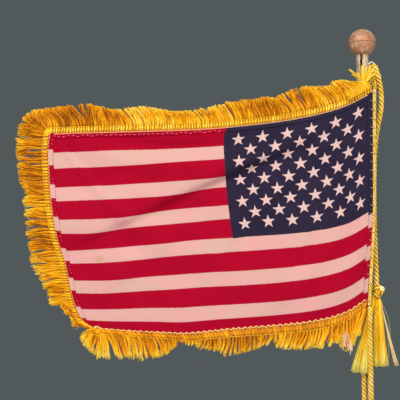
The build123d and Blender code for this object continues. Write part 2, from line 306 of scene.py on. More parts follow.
def yarn_material(name, dark, mid, bright, tip, rough=0.42, specular=0.16):
    """Lustrous yarn, coloured by its tint from shaded root to bright tip, with fine lines along its UV."""
    s = Shader(name, Roughness=rough, Specular_IOR_Level=specular)
    tint = s.node("ShaderNodeAttribute", attribute_name="tint").outputs["Fac"]
    uv = s.node("ShaderNodeUVMap", uv_map="yarn").outputs[0]
    lines = s.wave(uv, 1.0, 1.5, 2.0, "DIAGONAL")
    fine = s.noise(s.place(scale=(1, 1, 0.35)), 1500, 3, 0.6)
    value = s.plus(tint, s.times(s.minus(lines, 0.5), 0.16))
    value = s.plus(value, s.times(s.minus(fine, 0.5), 0.22))
    s.colour(s.ramp(value, (0.0, dark), (0.42, mid), (0.82, bright), (1.0, tip)))
    s.rough(fine, rough - 0.08, rough + 0.12)
    s.bump(s.plus(lines, fine), 0.00005, 0.6)
    return s.mat


def worn_metal(name, clean, pale, dark, metallic, scale, rough, wear, specked=0.60):
    """Plated metal: patches rubbed pale, dark specks in the low spots and fine scratches."""
    s = Shader(name, Metallic=metallic)
    at = s.place()
    patches = s.noise(at, scale, 5, 0.65, 0.4)
    specks = s.noise(at, scale * 5, 4, 0.7)
    scratches = s.noise(s.place(scale=(1, 1, 0.06)), scale * 12, 2, 0.8)
    edges = s.node("ShaderNodeNewGeometry").outputs["Pointiness"]
    worn = s.step(patches, 1 - wear - 0.12, 1 - wear + 0.12)
    rubbed = s.plus(worn, s.step(edges, 0.53, 0.6), clamp=True)
    ground = s.mix(rubbed, (*clean, 1), (*pale, 1))
    s.colour(s.mix(s.step(specks, specked, specked + 0.12), ground, (*dark, 1)))
    s.rough(s.plus(patches, s.times(scratches, 0.4)), *rough)
    pits = s.times(s.step(specks, 0.58, 0.75), 0.8)
    height = s.minus(s.times(patches, 0.6), pits)
    s.bump(s.plus(height, s.times(scratches, 0.25)), 0.00012, 0.8)
    return s.mat


def plain(name, one, two, rough, metallic=0.0, scale=2500, depth=0.00006, stretch=(1, 1, 1)):
    """A quiet finish with two near colours in a fine grain."""
    s = Shader(name, Metallic=metallic)
    at = s.place(scale=stretch)
    grain = s.noise(at, scale, 5, 0.6, 0.3)
    fine = s.noise(at, scale * 6, 3, 0.7)
    s.colour(s.mix(s.step(grain, 0.3, 0.7), (*one, 1), (*two, 1)))
    s.rough(fine, *rough)
    s.bump(s.plus(grain, s.times(fine, 0.5)), depth, 0.7)
    return s.mat


CLOTH = cloth_print()
# Yarns by their colour in shade, at rest, in light and at the tip
YARNS = {
    "fringe_yarn": (
        (0.27, 0.066, 0.0006), (0.84, 0.28, 0.001), (1.0, 0.61, 0.012), (1.0, 0.77, 0.12), 0.42, 0.12,
    ),
    "cord_yarn": ((0.12, 0.034, 0.001), (0.72, 0.34, 0.006), (1.0, 0.68, 0.07), (1.0, 0.86, 0.40), 0.40),
    "tassel_yarn": (
        (0.34, 0.10, 0.001), (0.92, 0.43, 0.002), (1.0, 0.70, 0.035), (1.0, 0.84, 0.20), 0.42, 0.12,
    ),
    "picot_thread": ((0.62, 0.24, 0.04), (0.95, 0.46, 0.10), (1.0, 0.58, 0.24), (1.0, 0.78, 0.50)),
    "frayed_yarn": ((0.30, 0.17, 0.04), (0.62, 0.40, 0.12), (0.86, 0.64, 0.28), (0.95, 0.80, 0.50), 0.5, 0.1),
    "faded_yarn": ((0.45, 0.20, 0.07), (0.78, 0.42, 0.20), (0.90, 0.60, 0.36), (1.0, 0.80, 0.60), 0.5, 0.1),
}
FRINGE, CORD, TASSEL, PICOT, FRAYED, TAN = (yarn_material(name, *look) for name, look in YARNS.items())

# Metals by their clean, rubbed and dark colours, then metallic, grain, roughness, wear and specks
METALS = {
    "worn_copper_gilt": (
        (0.50, 0.22, 0.11), (0.66, 0.42, 0.25), (0.10, 0.04, 0.02), 0.30, 260, (0.55, 0.78), 0.45, 0.54,
    ),
    "worn_pale_gilt": (
        (0.42, 0.27, 0.13), (0.66, 0.50, 0.36), (0.09, 0.05, 0.03), 0.30, 260, (0.45, 0.72), 0.55, 0.55,
    ),
    "satin_gilt": ((0.50, 0.33, 0.11), (0.74, 0.60, 0.38), (0.12, 0.07, 0.03), 0.9, 60, (0.3, 0.5), 0.35),
    "turned_brass": ((0.55, 0.36, 0.12), (0.78, 0.62, 0.36), (0.14, 0.08, 0.03), 0.95, 140, (0.2, 0.42), 0.3),
}
BALL, STAFF, GILT, TURNED = (worn_metal(name, *look) for name, look in METALS.items())

# Painted shade: the fringe's tape is coloured darker than its yarn, to stand for the shade between the header's
# ribs
SHADED_TAPE = plain("fringe_tape", (0.62, 0.27, 0.010), (0.40, 0.15, 0.004), (0.6, 0.8), scale=1500)
THREAD = plain("cotton_thread", (0.66, 0.48, 0.26), (0.42, 0.28, 0.14), (0.6, 0.8))
PINK_THREAD = plain("hem_thread", (0.78, 0.36, 0.36), (0.60, 0.14, 0.16), (0.6, 0.8))
NAVY_THREAD = plain("navy_thread", (0.05, 0.04, 0.10), (0.02, 0.016, 0.045), (0.6, 0.8))
TARNISHED = plain("tarnished_brass", (0.060, 0.036, 0.018), (0.030, 0.018, 0.010), (0.6, 0.8), 0.3, 400)
WIRE = plain("bare_wire", (0.74, 0.71, 0.66), (0.52, 0.49, 0.44), (0.25, 0.45), 0.85, 900)
ZINC = plain("zinc_plate", (0.58, 0.58, 0.57), (0.44, 0.45, 0.46), (0.3, 0.5), 0.9, 200)
IRON = plain("cast_iron", (0.10, 0.10, 0.10), (0.06, 0.055, 0.05), (0.6, 0.85), 0.6, 350, 0.0003)
FELT = plain("wool_felt", (0.020, 0.075, 0.045), (0.012, 0.045, 0.028), (0.9, 1.0), 0.0, 900, 0.0004)
WOOD = ((0.50, 0.33, 0.17), (0.36, 0.21, 0.10))
DOWEL = plain("raw_wood", *WOOD, (0.6, 0.8), 0.0, 500, 0.0001, (1, 1, 0.08))
PALE_FLOOR = plain("pale_floor", (0.70, 0.70, 0.69), (0.67, 0.67, 0.66), (0.6, 0.75), 0.0, 12, 0.0002)
floor.data.materials.append(PALE_FLOOR)

for coat, names in (
    (GILT, ("base_shell",)),
    (TURNED, ("base_socket", "staff_ferrule")),
    (TARNISHED, ("finial_stem",)),
    (ZINC, ("base_plate", "base_screw", "base_washer")),
    (IRON, ("base_weight",)),
    (FELT, ("felt_pad",)),
    (DOWEL, ("staff_plug",)),
    (WIRE, ("top_eye", "lower_eye")),
):
    for name in names:
        nodes[name].data.materials.clear()
        nodes[name].data.materials.append(coat)


# ---------------------------------------------------------------- mesh helpers

SPLINE_STEPS = 40
YARN_LINE = 0.25 * MM


def smooth_line(points, count):
    """A curve through a few points, given as evenly spaced points along it."""
    points = np.array(points, float)
    padded = np.vstack([2 * points[0] - points[1], points, 2 * points[-1] - points[-2]])
    dense = []
    for a, b, c, d in zip(padded, padded[1:], padded[2:], padded[3:]):
        for t in np.linspace(0, 1, SPLINE_STEPS, endpoint=False):
            square, cube = 2 * a - 5 * b + 4 * c - d, 3 * b - a - 3 * c + d
            dense.append(0.5 * (2 * b + (c - a) * t + square * t**2 + cube * t**3))
    return even(np.vstack([dense, points[-1]]), count)


def reached(line):
    """How far along a line each of its points lies."""
    return np.concatenate([[0], np.cumsum(np.linalg.norm(np.diff(line, axis=0), axis=1))])


def even(line, count):
    """The same line with its points evenly spaced."""
    reach = reached(line)
    want = np.linspace(0, reach[-1], count)
    return np.column_stack([np.interp(want, reach, line[:, k]) for k in range(line.shape[1])])


def length_of(line):
    return float(np.linalg.norm(np.diff(line, axis=0), axis=1).sum())


def unit(vectors):
    return vectors / np.maximum(np.linalg.norm(vectors, axis=-1, keepdims=True), 1e-12)


def frames(path):
    """Direction, side and other side at each point of a path, without twist.
    The path is (points, 3) or (points, tubes, 3)."""
    along = unit(np.gradient(path, axis=0))
    side = np.empty_like(along)
    side[0] = unit(np.cross(along[0], np.array([0.31, 0.87, 0.38])))
    for n in range(1, len(path)):
        overlap = np.sum(side[n - 1] * along[n], axis=-1, keepdims=True)
        side[n] = unit(side[n - 1] - along[n] * overlap)
    return along, side, np.cross(along, side)


def sample(field, at):
    """The rows of a field read at row numbers that may lie between two rows."""
    return np.column_stack([np.interp(at, np.arange(len(field)), field[:, k]) for k in range(3)])


def write_uv(mesh, layer, u, v):
    """Writes a UV layer from one value of u and v for each vertex."""
    corner = np.empty(len(mesh.loops), np.int32)
    mesh.loops.foreach_get("vertex_index", corner)
    uv = np.column_stack([np.ravel(u)[corner], np.ravel(v)[corner]]).astype(np.float32)
    mesh.uv_layers.new(name=layer).data.foreach_set("uv", uv.reshape(-1))


def tubes(name, paths, radii, sides, tints, material, body, slot, replaced=()):
    """Many closed tubes as one piece. paths is (tubes, rings, 3) and radii are (tubes, rings).
    tints are (tubes, rings) too, or one for each side as well. Each tube's UV counts its length in
    quarter millimetres and its turn in eighths."""
    paths = np.asarray(paths, float)
    count, rings = paths.shape[:2]
    along, side, other = (np.swapaxes(field, 0, 1) for field in frames(np.swapaxes(paths, 0, 1)))
    turn = np.arange(sides) * 2 * math.pi / sides
    radii = np.broadcast_to(radii, (count, rings))[:, :, None, None]
    ring = side[:, :, None] * np.cos(turn)[:, None] + other[:, :, None] * np.sin(turn)[:, None]
    verts = (paths[:, :, None] + radii * ring).reshape(-1, 3)
    index = np.arange(count * rings * sides).reshape(count, rings, sides)
    a, b = index[:, :-1], index[:, 1:]
    quads = np.stack([a, np.roll(a, -1, axis=2), np.roll(b, -1, axis=2), b], axis=-1).reshape(-1, 4)
    caps = [list(row) for row in index[:, 0, ::-1]] + [list(row) for row in index[:, -1]]
    mesh = bpy.data.meshes.new(name)
    mesh.from_pydata(verts.tolist(), [], quads.tolist() + caps)
    tints = np.asarray(tints, float)
    if tints.ndim < 3:
        tints = np.broadcast_to(tints, (count, rings))[:, :, None]
    shade = np.broadcast_to(tints, index.shape).reshape(-1)
    mesh.attributes.new("tint", "FLOAT", "POINT").data.foreach_set("value", shade.astype(np.float32))
    reach = np.array([reached(path) for path in paths])
    u = np.broadcast_to((reach / YARN_LINE)[:, :, None], index.shape)
    write_uv(mesh, "yarn", u, np.broadcast_to(np.arange(sides) / sides * 8, index.shape))
    return finish(name, mesh, material, body, replaced)


def finish(name, mesh, material, body, replaced=()):
    """Makes a mesh a piece of the object, on its body; given (one, other, start, end) instead, it is left on no
    body with its place baked in.
    """
    mesh.polygons.foreach_set("use_smooth", [True] * len(mesh.polygons))
    mesh.materials.append(material)
    piece = bpy.data.objects.new(name, mesh)
    bpy.context.collection.objects.link(piece)
    if isinstance(body, tuple):
        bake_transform(piece)
    else:
        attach(piece, body)
    if replaced:
        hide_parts(*replaced)
    return piece


def thicken(sheet, thickness):
    """Gives a sheet its thickness, half of it to each side."""
    solid = sheet.modifiers.new("thickness", "SOLIDIFY")
    solid.thickness = thickness
    solid.offset = 0


def jitter(*shape):
    """Random numbers from -1 to 1."""
    return rng.uniform(-1, 1, shape)


# ---------------------------------------------------------------- cords

PLIES = 3
PLY_SIDES = 10
# A ply's distance from the middle of its cord and its radius, as shares of the cord's diameter
PLY_OUT, PLY_R = 0.262, 0.240
CORD_RING = 0.32 * MM


def route(points):
    """The smooth line of a cord through its given control points, in millimetres."""
    curve = bpy.data.curves.new("route", "CURVE")
    curve.dimensions = "3D"
    spline = curve.splines.new("NURBS")
    spline.points.add(len(points) - 1)
    for point, place in zip(spline.points, points):
        point.co = (*(value * MM for value in place), 1)
    spline.order_u = 3
    spline.use_endpoint_u = True
    spline.resolution_u = 24
    holder = bpy.data.objects.new("route", curve)
    bpy.context.collection.objects.link(holder)
    bpy.context.view_layer.update()
    mesh = bpy.data.meshes.new_from_object(holder.evaluated_get(bpy.context.evaluated_depsgraph_get()))
    line = np.array([v.co[:] for v in mesh.vertices])
    bpy.data.objects.remove(holder)
    return line


def twisted(name, line, diameter, pitch, body, tint=0.5, replaces_node=True):
    """A cord of three plies laid in a right-to-left twist along a line, in place of the node of its name."""
    rings = max(12, int(length_of(line) / CORD_RING))
    core = even(line, rings)
    along, side, other = frames(core)
    reach = np.linspace(0, length_of(core), rings)
    paths, tints = [], []
    turn = np.arange(PLY_SIDES) * 2 * math.pi / PLY_SIDES
    for ply in range(PLIES):
        angle = 2 * math.pi * (ply / PLIES - reach / pitch)
        out = side * np.cos(angle)[:, None] + other * np.sin(angle)[:, None]
        path = core + out * diameter * PLY_OUT
        paths.append(path)
        _, ply_side, ply_other = frames(path)
        ring = ply_side[:, None] * np.cos(turn)[:, None] + ply_other[:, None] * np.sin(turn)[:, None]
        # Painted light and shade: each ply is lighter on its crown, where it faces out of the cord, and darker in
        # the grooves between the plies
        ply_shading = np.sum(ring * out[:, None], axis=2)
        worn = 0.08 * np.sin(reach / (2.7 * MM) + ply) + 0.06 * jitter(rings)
        tints.append(tint - 0.42 + 0.70 * np.clip(ply_shading, -0.5, 1) + worn[:, None])
    replaced = (name,) if replaces_node else ()
    tints = np.array(tints)
    return tubes(name, paths, diameter * PLY_R, PLY_SIDES, tints, CORD, body, "cord_gold", replaced)


HALYARD_D = 2.3 * MM
HOIST_D = 1.7 * MM
TASSEL_CORD_D = 2.6 * MM

FRONT_ROUTE = [(0.0, -10.0, 135.9), (-0.2, -9.8, 122.0), (0.6, -6.6, 48.5)]
BACK_ROUTE = [(4.1, -2.3, 243.4), (0.2, -5.0, 236.0), (-2.4, -4.1, 227.0), (-2.5, -3.8, 98.0)]
BACK_ROUTE += [(-2.3, -6.5, 48.5)]
LINK_ROUTE = [(4.7, -2.6, 244.8), (4.5, -7.4, 242.9), (4.0, -10.0, 238.2)]
HOIST_ROUTE = [(3.8, -10, 238.4), (3.2, -10, 212.0), (2.8, -10, 180.0), (1.3, -10, 157.5), (-0.3, -10, 136.4)]
TASSEL_ROUTE = [(5.7, -2.1, 250.3), (7.0, -2.8, 245.3), (8.3, -3.4, 237.0), (7.9, -4.0, 228.5)]
TASSEL_ROUTE += [(5.2, -4.4, 218.0), (3.9, -4.6, 203.0), (3.5, -4.9, 180.0), (3.8, -5.0, 160.0), (4.3, -5.0, 143.4)]
front_line, back_line, link_line, hoist_line, tassel_line = (
    route(points) for points in (FRONT_ROUTE, BACK_ROUTE, LINK_ROUTE, HOIST_ROUTE, TASSEL_ROUTE)
)

# The two cords that meet the flag run between it and the staff, and are left on neither body
front_bend = ("flag", "staff", (0.0, -0.0100, 0.1360), (-0.0002, -0.0096, 0.1120))
link_bend = ("staff", "flag", (0.0047, -0.0026, 0.2448), (0.0040, -0.0100, 0.2384))
halyard_front = twisted("halyard_front", front_line, HALYARD_D, 6.0 * MM, front_bend, 0.62)
halyard_back = twisted("halyard_back", back_line, HALYARD_D, 6.0 * MM, "staff", 0.62)
twisted("halyard_link", link_line, HOIST_D, 5.0 * MM, link_bend)
twisted("hoist_cord", hoist_line, HOIST_D, 5.0 * MM, "flag", 0.7)
tassel_cord = twisted("tassel_cord", tassel_line, TASSEL_CORD_D, 6.6 * MM, "staff", 0.6)


# ---------------------------------------------------------------- flag cloth

# Outline in the flag's plane, as (X, Z) in millimetres, each edge from the hoist or from the top
TOP_EDGE = [(2.6, 237.0), (-12.7, 229.8), (-31.6, 225.4), (-50.6, 222.9), (-79, 220.9)]
TOP_EDGE += [(-126, 220.4), (-150, 219.9)]
HOIST_EDGE = [(2.6, 237.0), (2.6, 209.7), (2.1, 179), (0.4, 157.8), (-1.4, 135.6)]
BOTTOM_EDGE = [(-1.4, 135.6), (-12.4, 129.4), (-30.4, 125.8), (-66, 124.0), (-84, 122.8), (-98, 123.7)]
BOTTOM_EDGE += [(-114, 125.2), (-129, 127.0)]
FLY_EDGE = [(-150.0, 219.9), (-151, 211.5), (-149.8, 191.4), (-147.3, 174.3), (-143.7, 161)]
FLY_EDGE += [(-140.3, 143), (-136, 132), (-129, 127.0)]

GRID_U, GRID_V = 72, 48
FINE_U, FINE_V = 216, 144
SIM_SCALE = 10.0
SIM_FRAMES = 36
# The cloth is cut a little larger than it hangs, so that it has slack for its folds
CUT_W, CUT_H, CUT_TOP = 0.1575, 0.1030, 0.237


def in_plane(points, count):
    """An outline's points spread evenly along it, in metres, in the flag's plane."""
    return smooth_line([(x * MM, flag_y, z * MM) for x, z in points], count)


def patch(top, hoist, bottom, fly):
    """A surface stretched between four edges: rows run down, columns from hoist to fly."""
    u = np.linspace(0, 1, len(top))[None, :, None]
    v = np.linspace(0, 1, len(hoist))[:, None, None]
    ruled = (1 - v) * top[None] + v * bottom[None] + (1 - u) * hoist[:, None] + u * fly[:, None]
    ends = (1 - u) * (1 - v) * top[0] + u * (1 - v) * top[-1] + (1 - u) * v * bottom[0] + u * v * bottom[-1]
    return ruled - ends


def edges_of(count_u, count_v):
    """The cloth's top, hoist, bottom and fly edges with that many points."""
    sides = ((TOP_EDGE, count_u), (HOIST_EDGE, count_v), (BOTTOM_EDGE, count_u), (FLY_EDGE, count_v))
    return [in_plane(points, count) for points, count in sides]


def grid_mesh(name, surface):
    """A mesh over a grid of points."""
    rows, columns = surface.shape[:2]
    index = np.arange(rows * columns).reshape(rows, columns)
    quads = np.stack([index[:-1, :-1], index[:-1, 1:], index[1:, 1:], index[1:, :-1]], axis=-1).reshape(-1, 4)
    mesh = bpy.data.meshes.new(name)
    mesh.from_pydata(surface.reshape(-1, 3).tolist(), [], quads.tolist())
    return mesh


def simulate(surface):
    """Lets the cloth settle between its pinned hoist and the corner that is held out."""
    rows, columns = surface.shape[:2]
    mesh = grid_mesh("cloth_sim", surface * SIM_SCALE)
    settling = bpy.data.objects.new("cloth_sim", mesh)
    bpy.context.collection.objects.link(settling)
    u, v = np.meshgrid(np.linspace(0, 1, columns), np.linspace(0, 1, rows))
    flat = np.stack([-u * CUT_W, np.full_like(u, flag_y), CUT_TOP - v * CUT_H], axis=-1) * SIM_SCALE
    settling.shape_key_add(name="hung")
    cut_key = settling.shape_key_add(name="cut")
    cut_key.data.foreach_set("co", flat.reshape(-1))
    pinned = np.zeros((rows, columns))
    pinned[:, 0] = 1
    pinned[:3, -3:] = 1
    pinned[0, :] = np.maximum(pinned[0, :], 0.25)
    pinned[-1, :] = np.maximum(pinned[-1, :], 0.12)
    pinned[:, -1] = np.maximum(pinned[:, -1], 0.12)
    group = settling.vertex_groups.new(name="pinned")
    for n, weight in enumerate(pinned.reshape(-1)):
        if weight > 0:
            group.add([n], float(weight), "REPLACE")
    modifier = settling.modifiers.new("cloth", "CLOTH")
    cloth = modifier.settings
    cloth.quality = 8
    cloth.mass = 0.12
    cloth.tension_stiffness = cloth.compression_stiffness = 18
    cloth.shear_stiffness = 6
    cloth.bending_stiffness = 0.35
    cloth.air_damping = 1.5
    cloth.vertex_group_mass = "pinned"
    cloth.pin_stiffness = 0.6
    cloth.rest_shape_key = cut_key
    modifier.collision_settings.use_collision = False
    scene = bpy.context.scene
    scene.frame_start, scene.frame_end = 1, SIM_FRAMES
    modifier.point_cache.frame_end = SIM_FRAMES
    for number in range(1, SIM_FRAMES + 1):
        scene.frame_set(number)
    done = settling.evaluated_get(bpy.context.evaluated_depsgraph_get())
    found = np.array([v.co[:] for v in done.data.vertices]).reshape(rows, columns, 3) / SIM_SCALE
    scene.frame_set(1)
    bpy.data.objects.remove(settling)
    return found


def finer(surface, rows, columns):
    """The same surface on a finer grid, smooth between its points."""

    def spread(values, count):
        old = np.linspace(0, 1, len(values))
        new = np.linspace(0, 1, count)
        slope = np.gradient(values, old, axis=0)
        cell = np.clip(np.searchsorted(old, new, side="right") - 1, 0, len(old) - 2)
        step = old[1] - old[0]
        t = ((new - old[cell]) / step).reshape(-1, *([1] * (values.ndim - 1)))
        one, two, s_one, s_two = values[cell], values[cell + 1], slope[cell] * step, slope[cell + 1] * step
        start = (2 * t**3 - 3 * t**2 + 1) * one + (t**3 - 2 * t**2 + t) * s_one
        return start + (3 * t**2 - 2 * t**3) * two + (t**3 - t**2) * s_two

    return np.swapaxes(spread(np.swapaxes(spread(surface, rows), 0, 1), columns), 0, 1)


start_shape = patch(*edges_of(GRID_U + 1, GRID_V + 1))
grid_u, grid_v = np.meshgrid(np.linspace(0, 1, GRID_U + 1), np.linspace(0, 1, GRID_V + 1))
# Where it begins to buckle: long folds that fan from the top of the hoist, and a swell along the foot
fold = 0.8 * np.sin(9 * grid_v + 5.0 * grid_u) * np.exp(-3.0 * grid_u) * (1 - grid_v)
fold += 1.6 * np.sin(2 * math.pi * (1.35 * grid_u + 0.15)) * grid_v**1.5
start_shape[..., 1] += fold * MM * np.sin(math.pi * np.clip(grid_u * 1.2, 0, 0.5))
settled = simulate(start_shape)
surface = finer(settled, FINE_V + 1, FINE_U + 1)

# The settled cloth is eased so that its edges lie on the outline, seen from the front
targets = edges_of(FINE_U + 1, FINE_V + 1)
now = (surface[0], surface[:, 0], surface[-1], surface[:, -1])
ease = patch(*(want - have for want, have in zip(targets, now)))
ease[..., 1] = patch(*((have * 0 + [0, 1, 0]) * (flag_y - have[:, 1:2]) for have in now))[..., 1] * 0.35
surface = surface + ease
fine_u, fine_v = np.meshgrid(np.linspace(0, 1, FINE_U + 1), np.linspace(0, 1, FINE_V + 1))

# Creases that run down from the top of the hoist, as (steepness, sharpness, reach, depth, pull, from u,
# to u), the lengths in millimetres: the cloth above each line stands out and the cloth below it falls
# back, so the print there is drawn together by the pull
CREASES = [(0.54, 3.0, 13, 1.9, 0.95, 0.08, 1.0), (1.25, 2.5, 8, 0.5, 0.3, 0.03, 0.55)]
CREASES += [(0.22, 2.2, 6, 0.45, 0.2, 0.1, 0.8), (2.6, 3.0, 8, 0.35, 0.2, 0.02, 0.3)]
CREASES += [(0.86, 3.0, 9, 0.40, 0.15, 0.35, 1.0)]
# Places where the cloth sags, is drawn up or billows, as (u, v, reach of each, sideways, down, out)
SAGS = [(0.94, 0.50, 0.26, 0.36, 0, 2.6, 0), (0.66, 0.66, 0.16, 0.28, 0, -1.7, 0)]
SAGS += [(0.38, 0.46, 0.22, 0.20, 0, -1.5, 0), (0.78, 0.90, 0.15, 0.10, 0, -1.0, 0)]
SAGS += [(0.46, 0.0, 0.30, 0.55, -2.4, 0, 0), (0.12, 0.5, 0.12, 0.25, 1.3, 0, 0)]
SAGS += [(0.86, 0.14, 0.36, 0.16, 0, 1.2, 0), (0.97, 0.38, 0.20, 0.13, 0, 0, 2.2)]
SAGS += [(0.84, 0.62, 0.13, 0.12, 0, 0, 1.0), (0.30, 0.78, 0.16, 0.16, 0, 0, 1.4)]
SAGS += [(0.62, 0.30, 0.20, 0.08, 0, 0, 0.9), (0.10, 0.86, 0.08, 0.14, 0, 0, 1.2)]
inside = np.clip((np.sin(math.pi * fine_u) * np.sin(math.pi * fine_v)) ** 0.5 * 1.8, 0, 1)
for steep, sharp, reach, depth, pull, u_from, u_to in CREASES:
    below = (fine_v - steep * fine_u) * FLAG_H / MM
    middle = np.clip((fine_u - u_from) / (u_to - u_from), 0, 1)
    drawn = np.tanh(below / sharp) * np.exp(-((below / reach) ** 2)) * np.sin(math.pi * middle) ** 0.6
    drawn = drawn * inside * MM
    surface[..., 1] += drawn * depth
    surface[..., 2] += drawn * pull
off_hoist, off_fly = np.clip(8 * fine_u, 0, 1), np.clip(8 * (1 - fine_u), 0, 1)
off_edges = np.clip(6 * fine_v, 0, 1) * np.clip(6 * (1 - fine_v), 0, 1)
for u, v, reach_u, reach_v, aside, down, out in SAGS:
    near = np.exp(-(((fine_u - u) / reach_u) ** 2) - ((fine_v - v) / reach_v) ** 2)
    surface[..., 0] += near * off_hoist * off_fly * aside * MM
    surface[..., 2] -= near * off_edges * off_hoist * down * MM
    surface[..., 1] -= near * off_edges * off_hoist * out * MM


def at_cloth(u, v):
    """Points on the cloth at u from hoist to fly and v from the top down, each from 0 to 1."""
    column = np.clip(np.asarray(u, float), 0, 1) * FINE_U
    row = np.clip(np.asarray(v, float), 0, 1) * FINE_V
    c = np.minimum(column.astype(int), FINE_U - 1)
    r = np.minimum(row.astype(int), FINE_V - 1)
    s, t = (column - c)[..., None], (row - r)[..., None]
    top = surface[r, c] * (1 - s) + surface[r, c + 1] * s
    foot = surface[r + 1, c] * (1 - s) + surface[r + 1, c + 1] * s
    return top * (1 - t) + foot * t


def facing(u, v):
    """The cloth's outward normal on the side that shows, towards -Y."""
    d = 0.004
    across = at_cloth(np.clip(u + d, 0, 1), v) - at_cloth(np.clip(u - d, 0, 1), v)
    down = at_cloth(u, np.clip(v + d, 0, 1)) - at_cloth(u, np.clip(v - d, 0, 1))
    return unit(np.cross(down, across)) * -1


CLOTH_T = 0.28 * MM
mesh = grid_mesh("flag_cloth", surface)
write_uv(mesh, "cloth", fine_u, fine_v)
flag_cloth = finish("flag_cloth_printed", mesh, CLOTH, "flag", ("flag_cloth",))
thicken(flag_cloth, CLOTH_T)


# ---------------------------------------------------------------- hems and stitching

HEM = 2.5 * MM
HEM_T = 0.16 * MM
STITCH_RISE = 0.32 * MM
WHIPS = 25


def strip(name, line_u, line_v, in_u, in_v, lift, shift_u, shift_v):
    """A folded hem along an edge of the cloth: it runs inwards by in_u and in_v and stands lift off the face.
    Its print is moved by the shifts, as a folded edge shows another part of it."""
    depth = np.linspace(0, 1, 7)
    u = np.asarray(line_u)[:, None] + in_u * depth[None]
    v = np.asarray(line_v)[:, None] + in_v * depth[None]
    rise = np.sin(np.clip(depth * 5.5, 0, 1) * math.pi / 2)
    rise = rise * (1 - 0.75 * np.clip((depth - 0.85) / 0.15, 0, 1))
    points = at_cloth(u, v) + facing(u, v) * ((lift * rise)[None, :, None] + 0.10 * MM)
    pucker = np.sin(np.arange(len(line_u)) * 1.7)[:, None, None] * depth[None, :, None]
    mesh = grid_mesh(name, points + facing(u, v) * 0.10 * MM * pucker)
    write_uv(mesh, "cloth", u + shift_u, v + shift_v)
    thicken(finish(name, mesh, CLOTH, "flag"), HEM_T)


def stitches(name, u, v, turn_u, turn_v, thickness, material):
    """Short threads laid over the cloth, each from (u, v) to (u + turn_u, v + turn_v)."""
    t = np.linspace(0, 1, 6)
    arch = np.sin(math.pi * t) ** 0.6 * STITCH_RISE
    us = np.asarray(u)[:, None] + np.asarray(turn_u)[:, None] * t
    vs = np.asarray(v)[:, None] + np.asarray(turn_v)[:, None] * t
    points = at_cloth(us, vs) + facing(us, vs) * (arch[None, :, None] + 0.14 * MM)
    tubes(name, points, thickness * MM, 6, np.full(points.shape[:2], 0.6), material, "flag", "thread")


long_u = np.linspace(0, 1, 300)
long_v = np.linspace(0, 1, 220)
hem_u, hem_v = HEM / FLAG_W, HEM / FLAG_H
strip("hem_top", long_u, long_u * 0, 0, hem_v, 0.22 * MM, 0.006, 0.0)
strip("hem_fly", long_v * 0 + 1, long_v, -hem_u, 0, 0.34 * MM, 0.0, 0.014)
strip("hem_hoist", long_v * 0, long_v, hem_u, 0, 0.34 * MM, 0.0, -0.016)

on_stripes = np.arange(CANTON_W + 0.01, 0.994, 0.0148)
on_canton = np.arange(0.006, CANTON_W, 0.0148)
for name, rows, thread in (("top", on_stripes, PINK_THREAD), ("canton", on_canton, NAVY_THREAD)):
    wander = hem_v * (0.60 + 0.10 * np.sin(rows * 140))
    slant = 0.003 * np.sin(rows * 300)
    stitches(f"hem_stitches_{name}", rows, wander, rows * 0 + 0.0095, slant, 0.11, thread)
rows = np.arange(0.02, 0.985, 0.021)
stitches("hem_stitches_fly", rows * 0 + 1 - hem_u * 0.78, rows, rows * 0, rows * 0 + 0.015, 0.09, PINK_THREAD)
rows = np.arange(0.02, 0.985, 0.017)
stitches("hem_stitches_hoist", rows * 0 + hem_u * 0.84, rows, rows * 0, rows * 0 + 0.012, 0.10, NAVY_THREAD)

# Whip stitches round the hoist cord, through the hem
wraps = []
hoist_even = even(hoist_line, 400)
angle = np.linspace(0, 2 * math.pi, 17)
for n in range(WHIPS):
    middle = hoist_even[int((n + 0.5) / WHIPS * 399)]
    down = -0.55 * np.cos(angle) + 0.1 * math.sin(n)
    wraps.append(middle + np.stack([np.cos(angle) * 1.55 - 0.45, np.sin(angle) * 1.2, down], axis=1) * MM)
tubes("hoist_stitches", wraps, 0.14 * MM, 6, 0.7, THREAD, "flag", "thread", ("hoist_stitches",))


# ---------------------------------------------------------------- fringe

FOLD_OUT = 2.4 * MM
YARN_R = 0.15 * MM
BEZIER_RINGS = 9
UNDER = 5
TIP_POINTS = 500
RIB_GIRTH = (0.45, 0.80, 0.97, 1.0, 0.98, 0.95, 0.62)
IN_PLANE = [1, 0, 1]

# Outer outline of the loose yarn as (X, Z) in millimetres, one side after the other
TOP_TIPS = [(-1, 243.4), (-9, 242.6), (-15.4, 243.1), (-18.5, 239.9), (-27, 239.9), (-40.9, 236.9)]
TOP_TIPS += [(-44, 235.2), (-60, 234.2), (-76, 230.4), (-93.5, 229.8), (-104.8, 232), (-119, 230.6)]
TOP_TIPS += [(-131.7, 233.6), (-145, 232.2), (-157, 231.2)]
FLY_TIPS = [(-151, 231.6), (-160.5, 229.8), (-164, 226), (-165.2, 218), (-165.4, 209), (-164.6, 200.6)]
FLY_TIPS += [(-162.4, 190), (-161.5, 181), (-161, 172.5), (-158.8, 160.6), (-156.9, 154), (-153, 145)]
FLY_TIPS += [(-150.5, 139.6), (-145.5, 138.5), (-140.6, 130.6), (-136.8, 125.8)]
BOTTOM_TIPS = [(-137, 125.8), (-136.6, 121.5), (-131.6, 115.2), (-125.6, 113.6), (-116, 114), (-104, 112.8)]
BOTTOM_TIPS += [(-97.5, 114.6), (-89.3, 119.6), (-79.2, 117.5), (-65.6, 114.5), (-57, 115.4), (-47.5, 118.6)]
BOTTOM_TIPS += [(-36.7, 115.6), (-23.3, 117.4), (-16.4, 119.2), (-13.6, 116.2), (-9.4, 115.6)]
BOTTOM_TIPS += [(-7.2, 121.2), (-2.6, 122.6)]

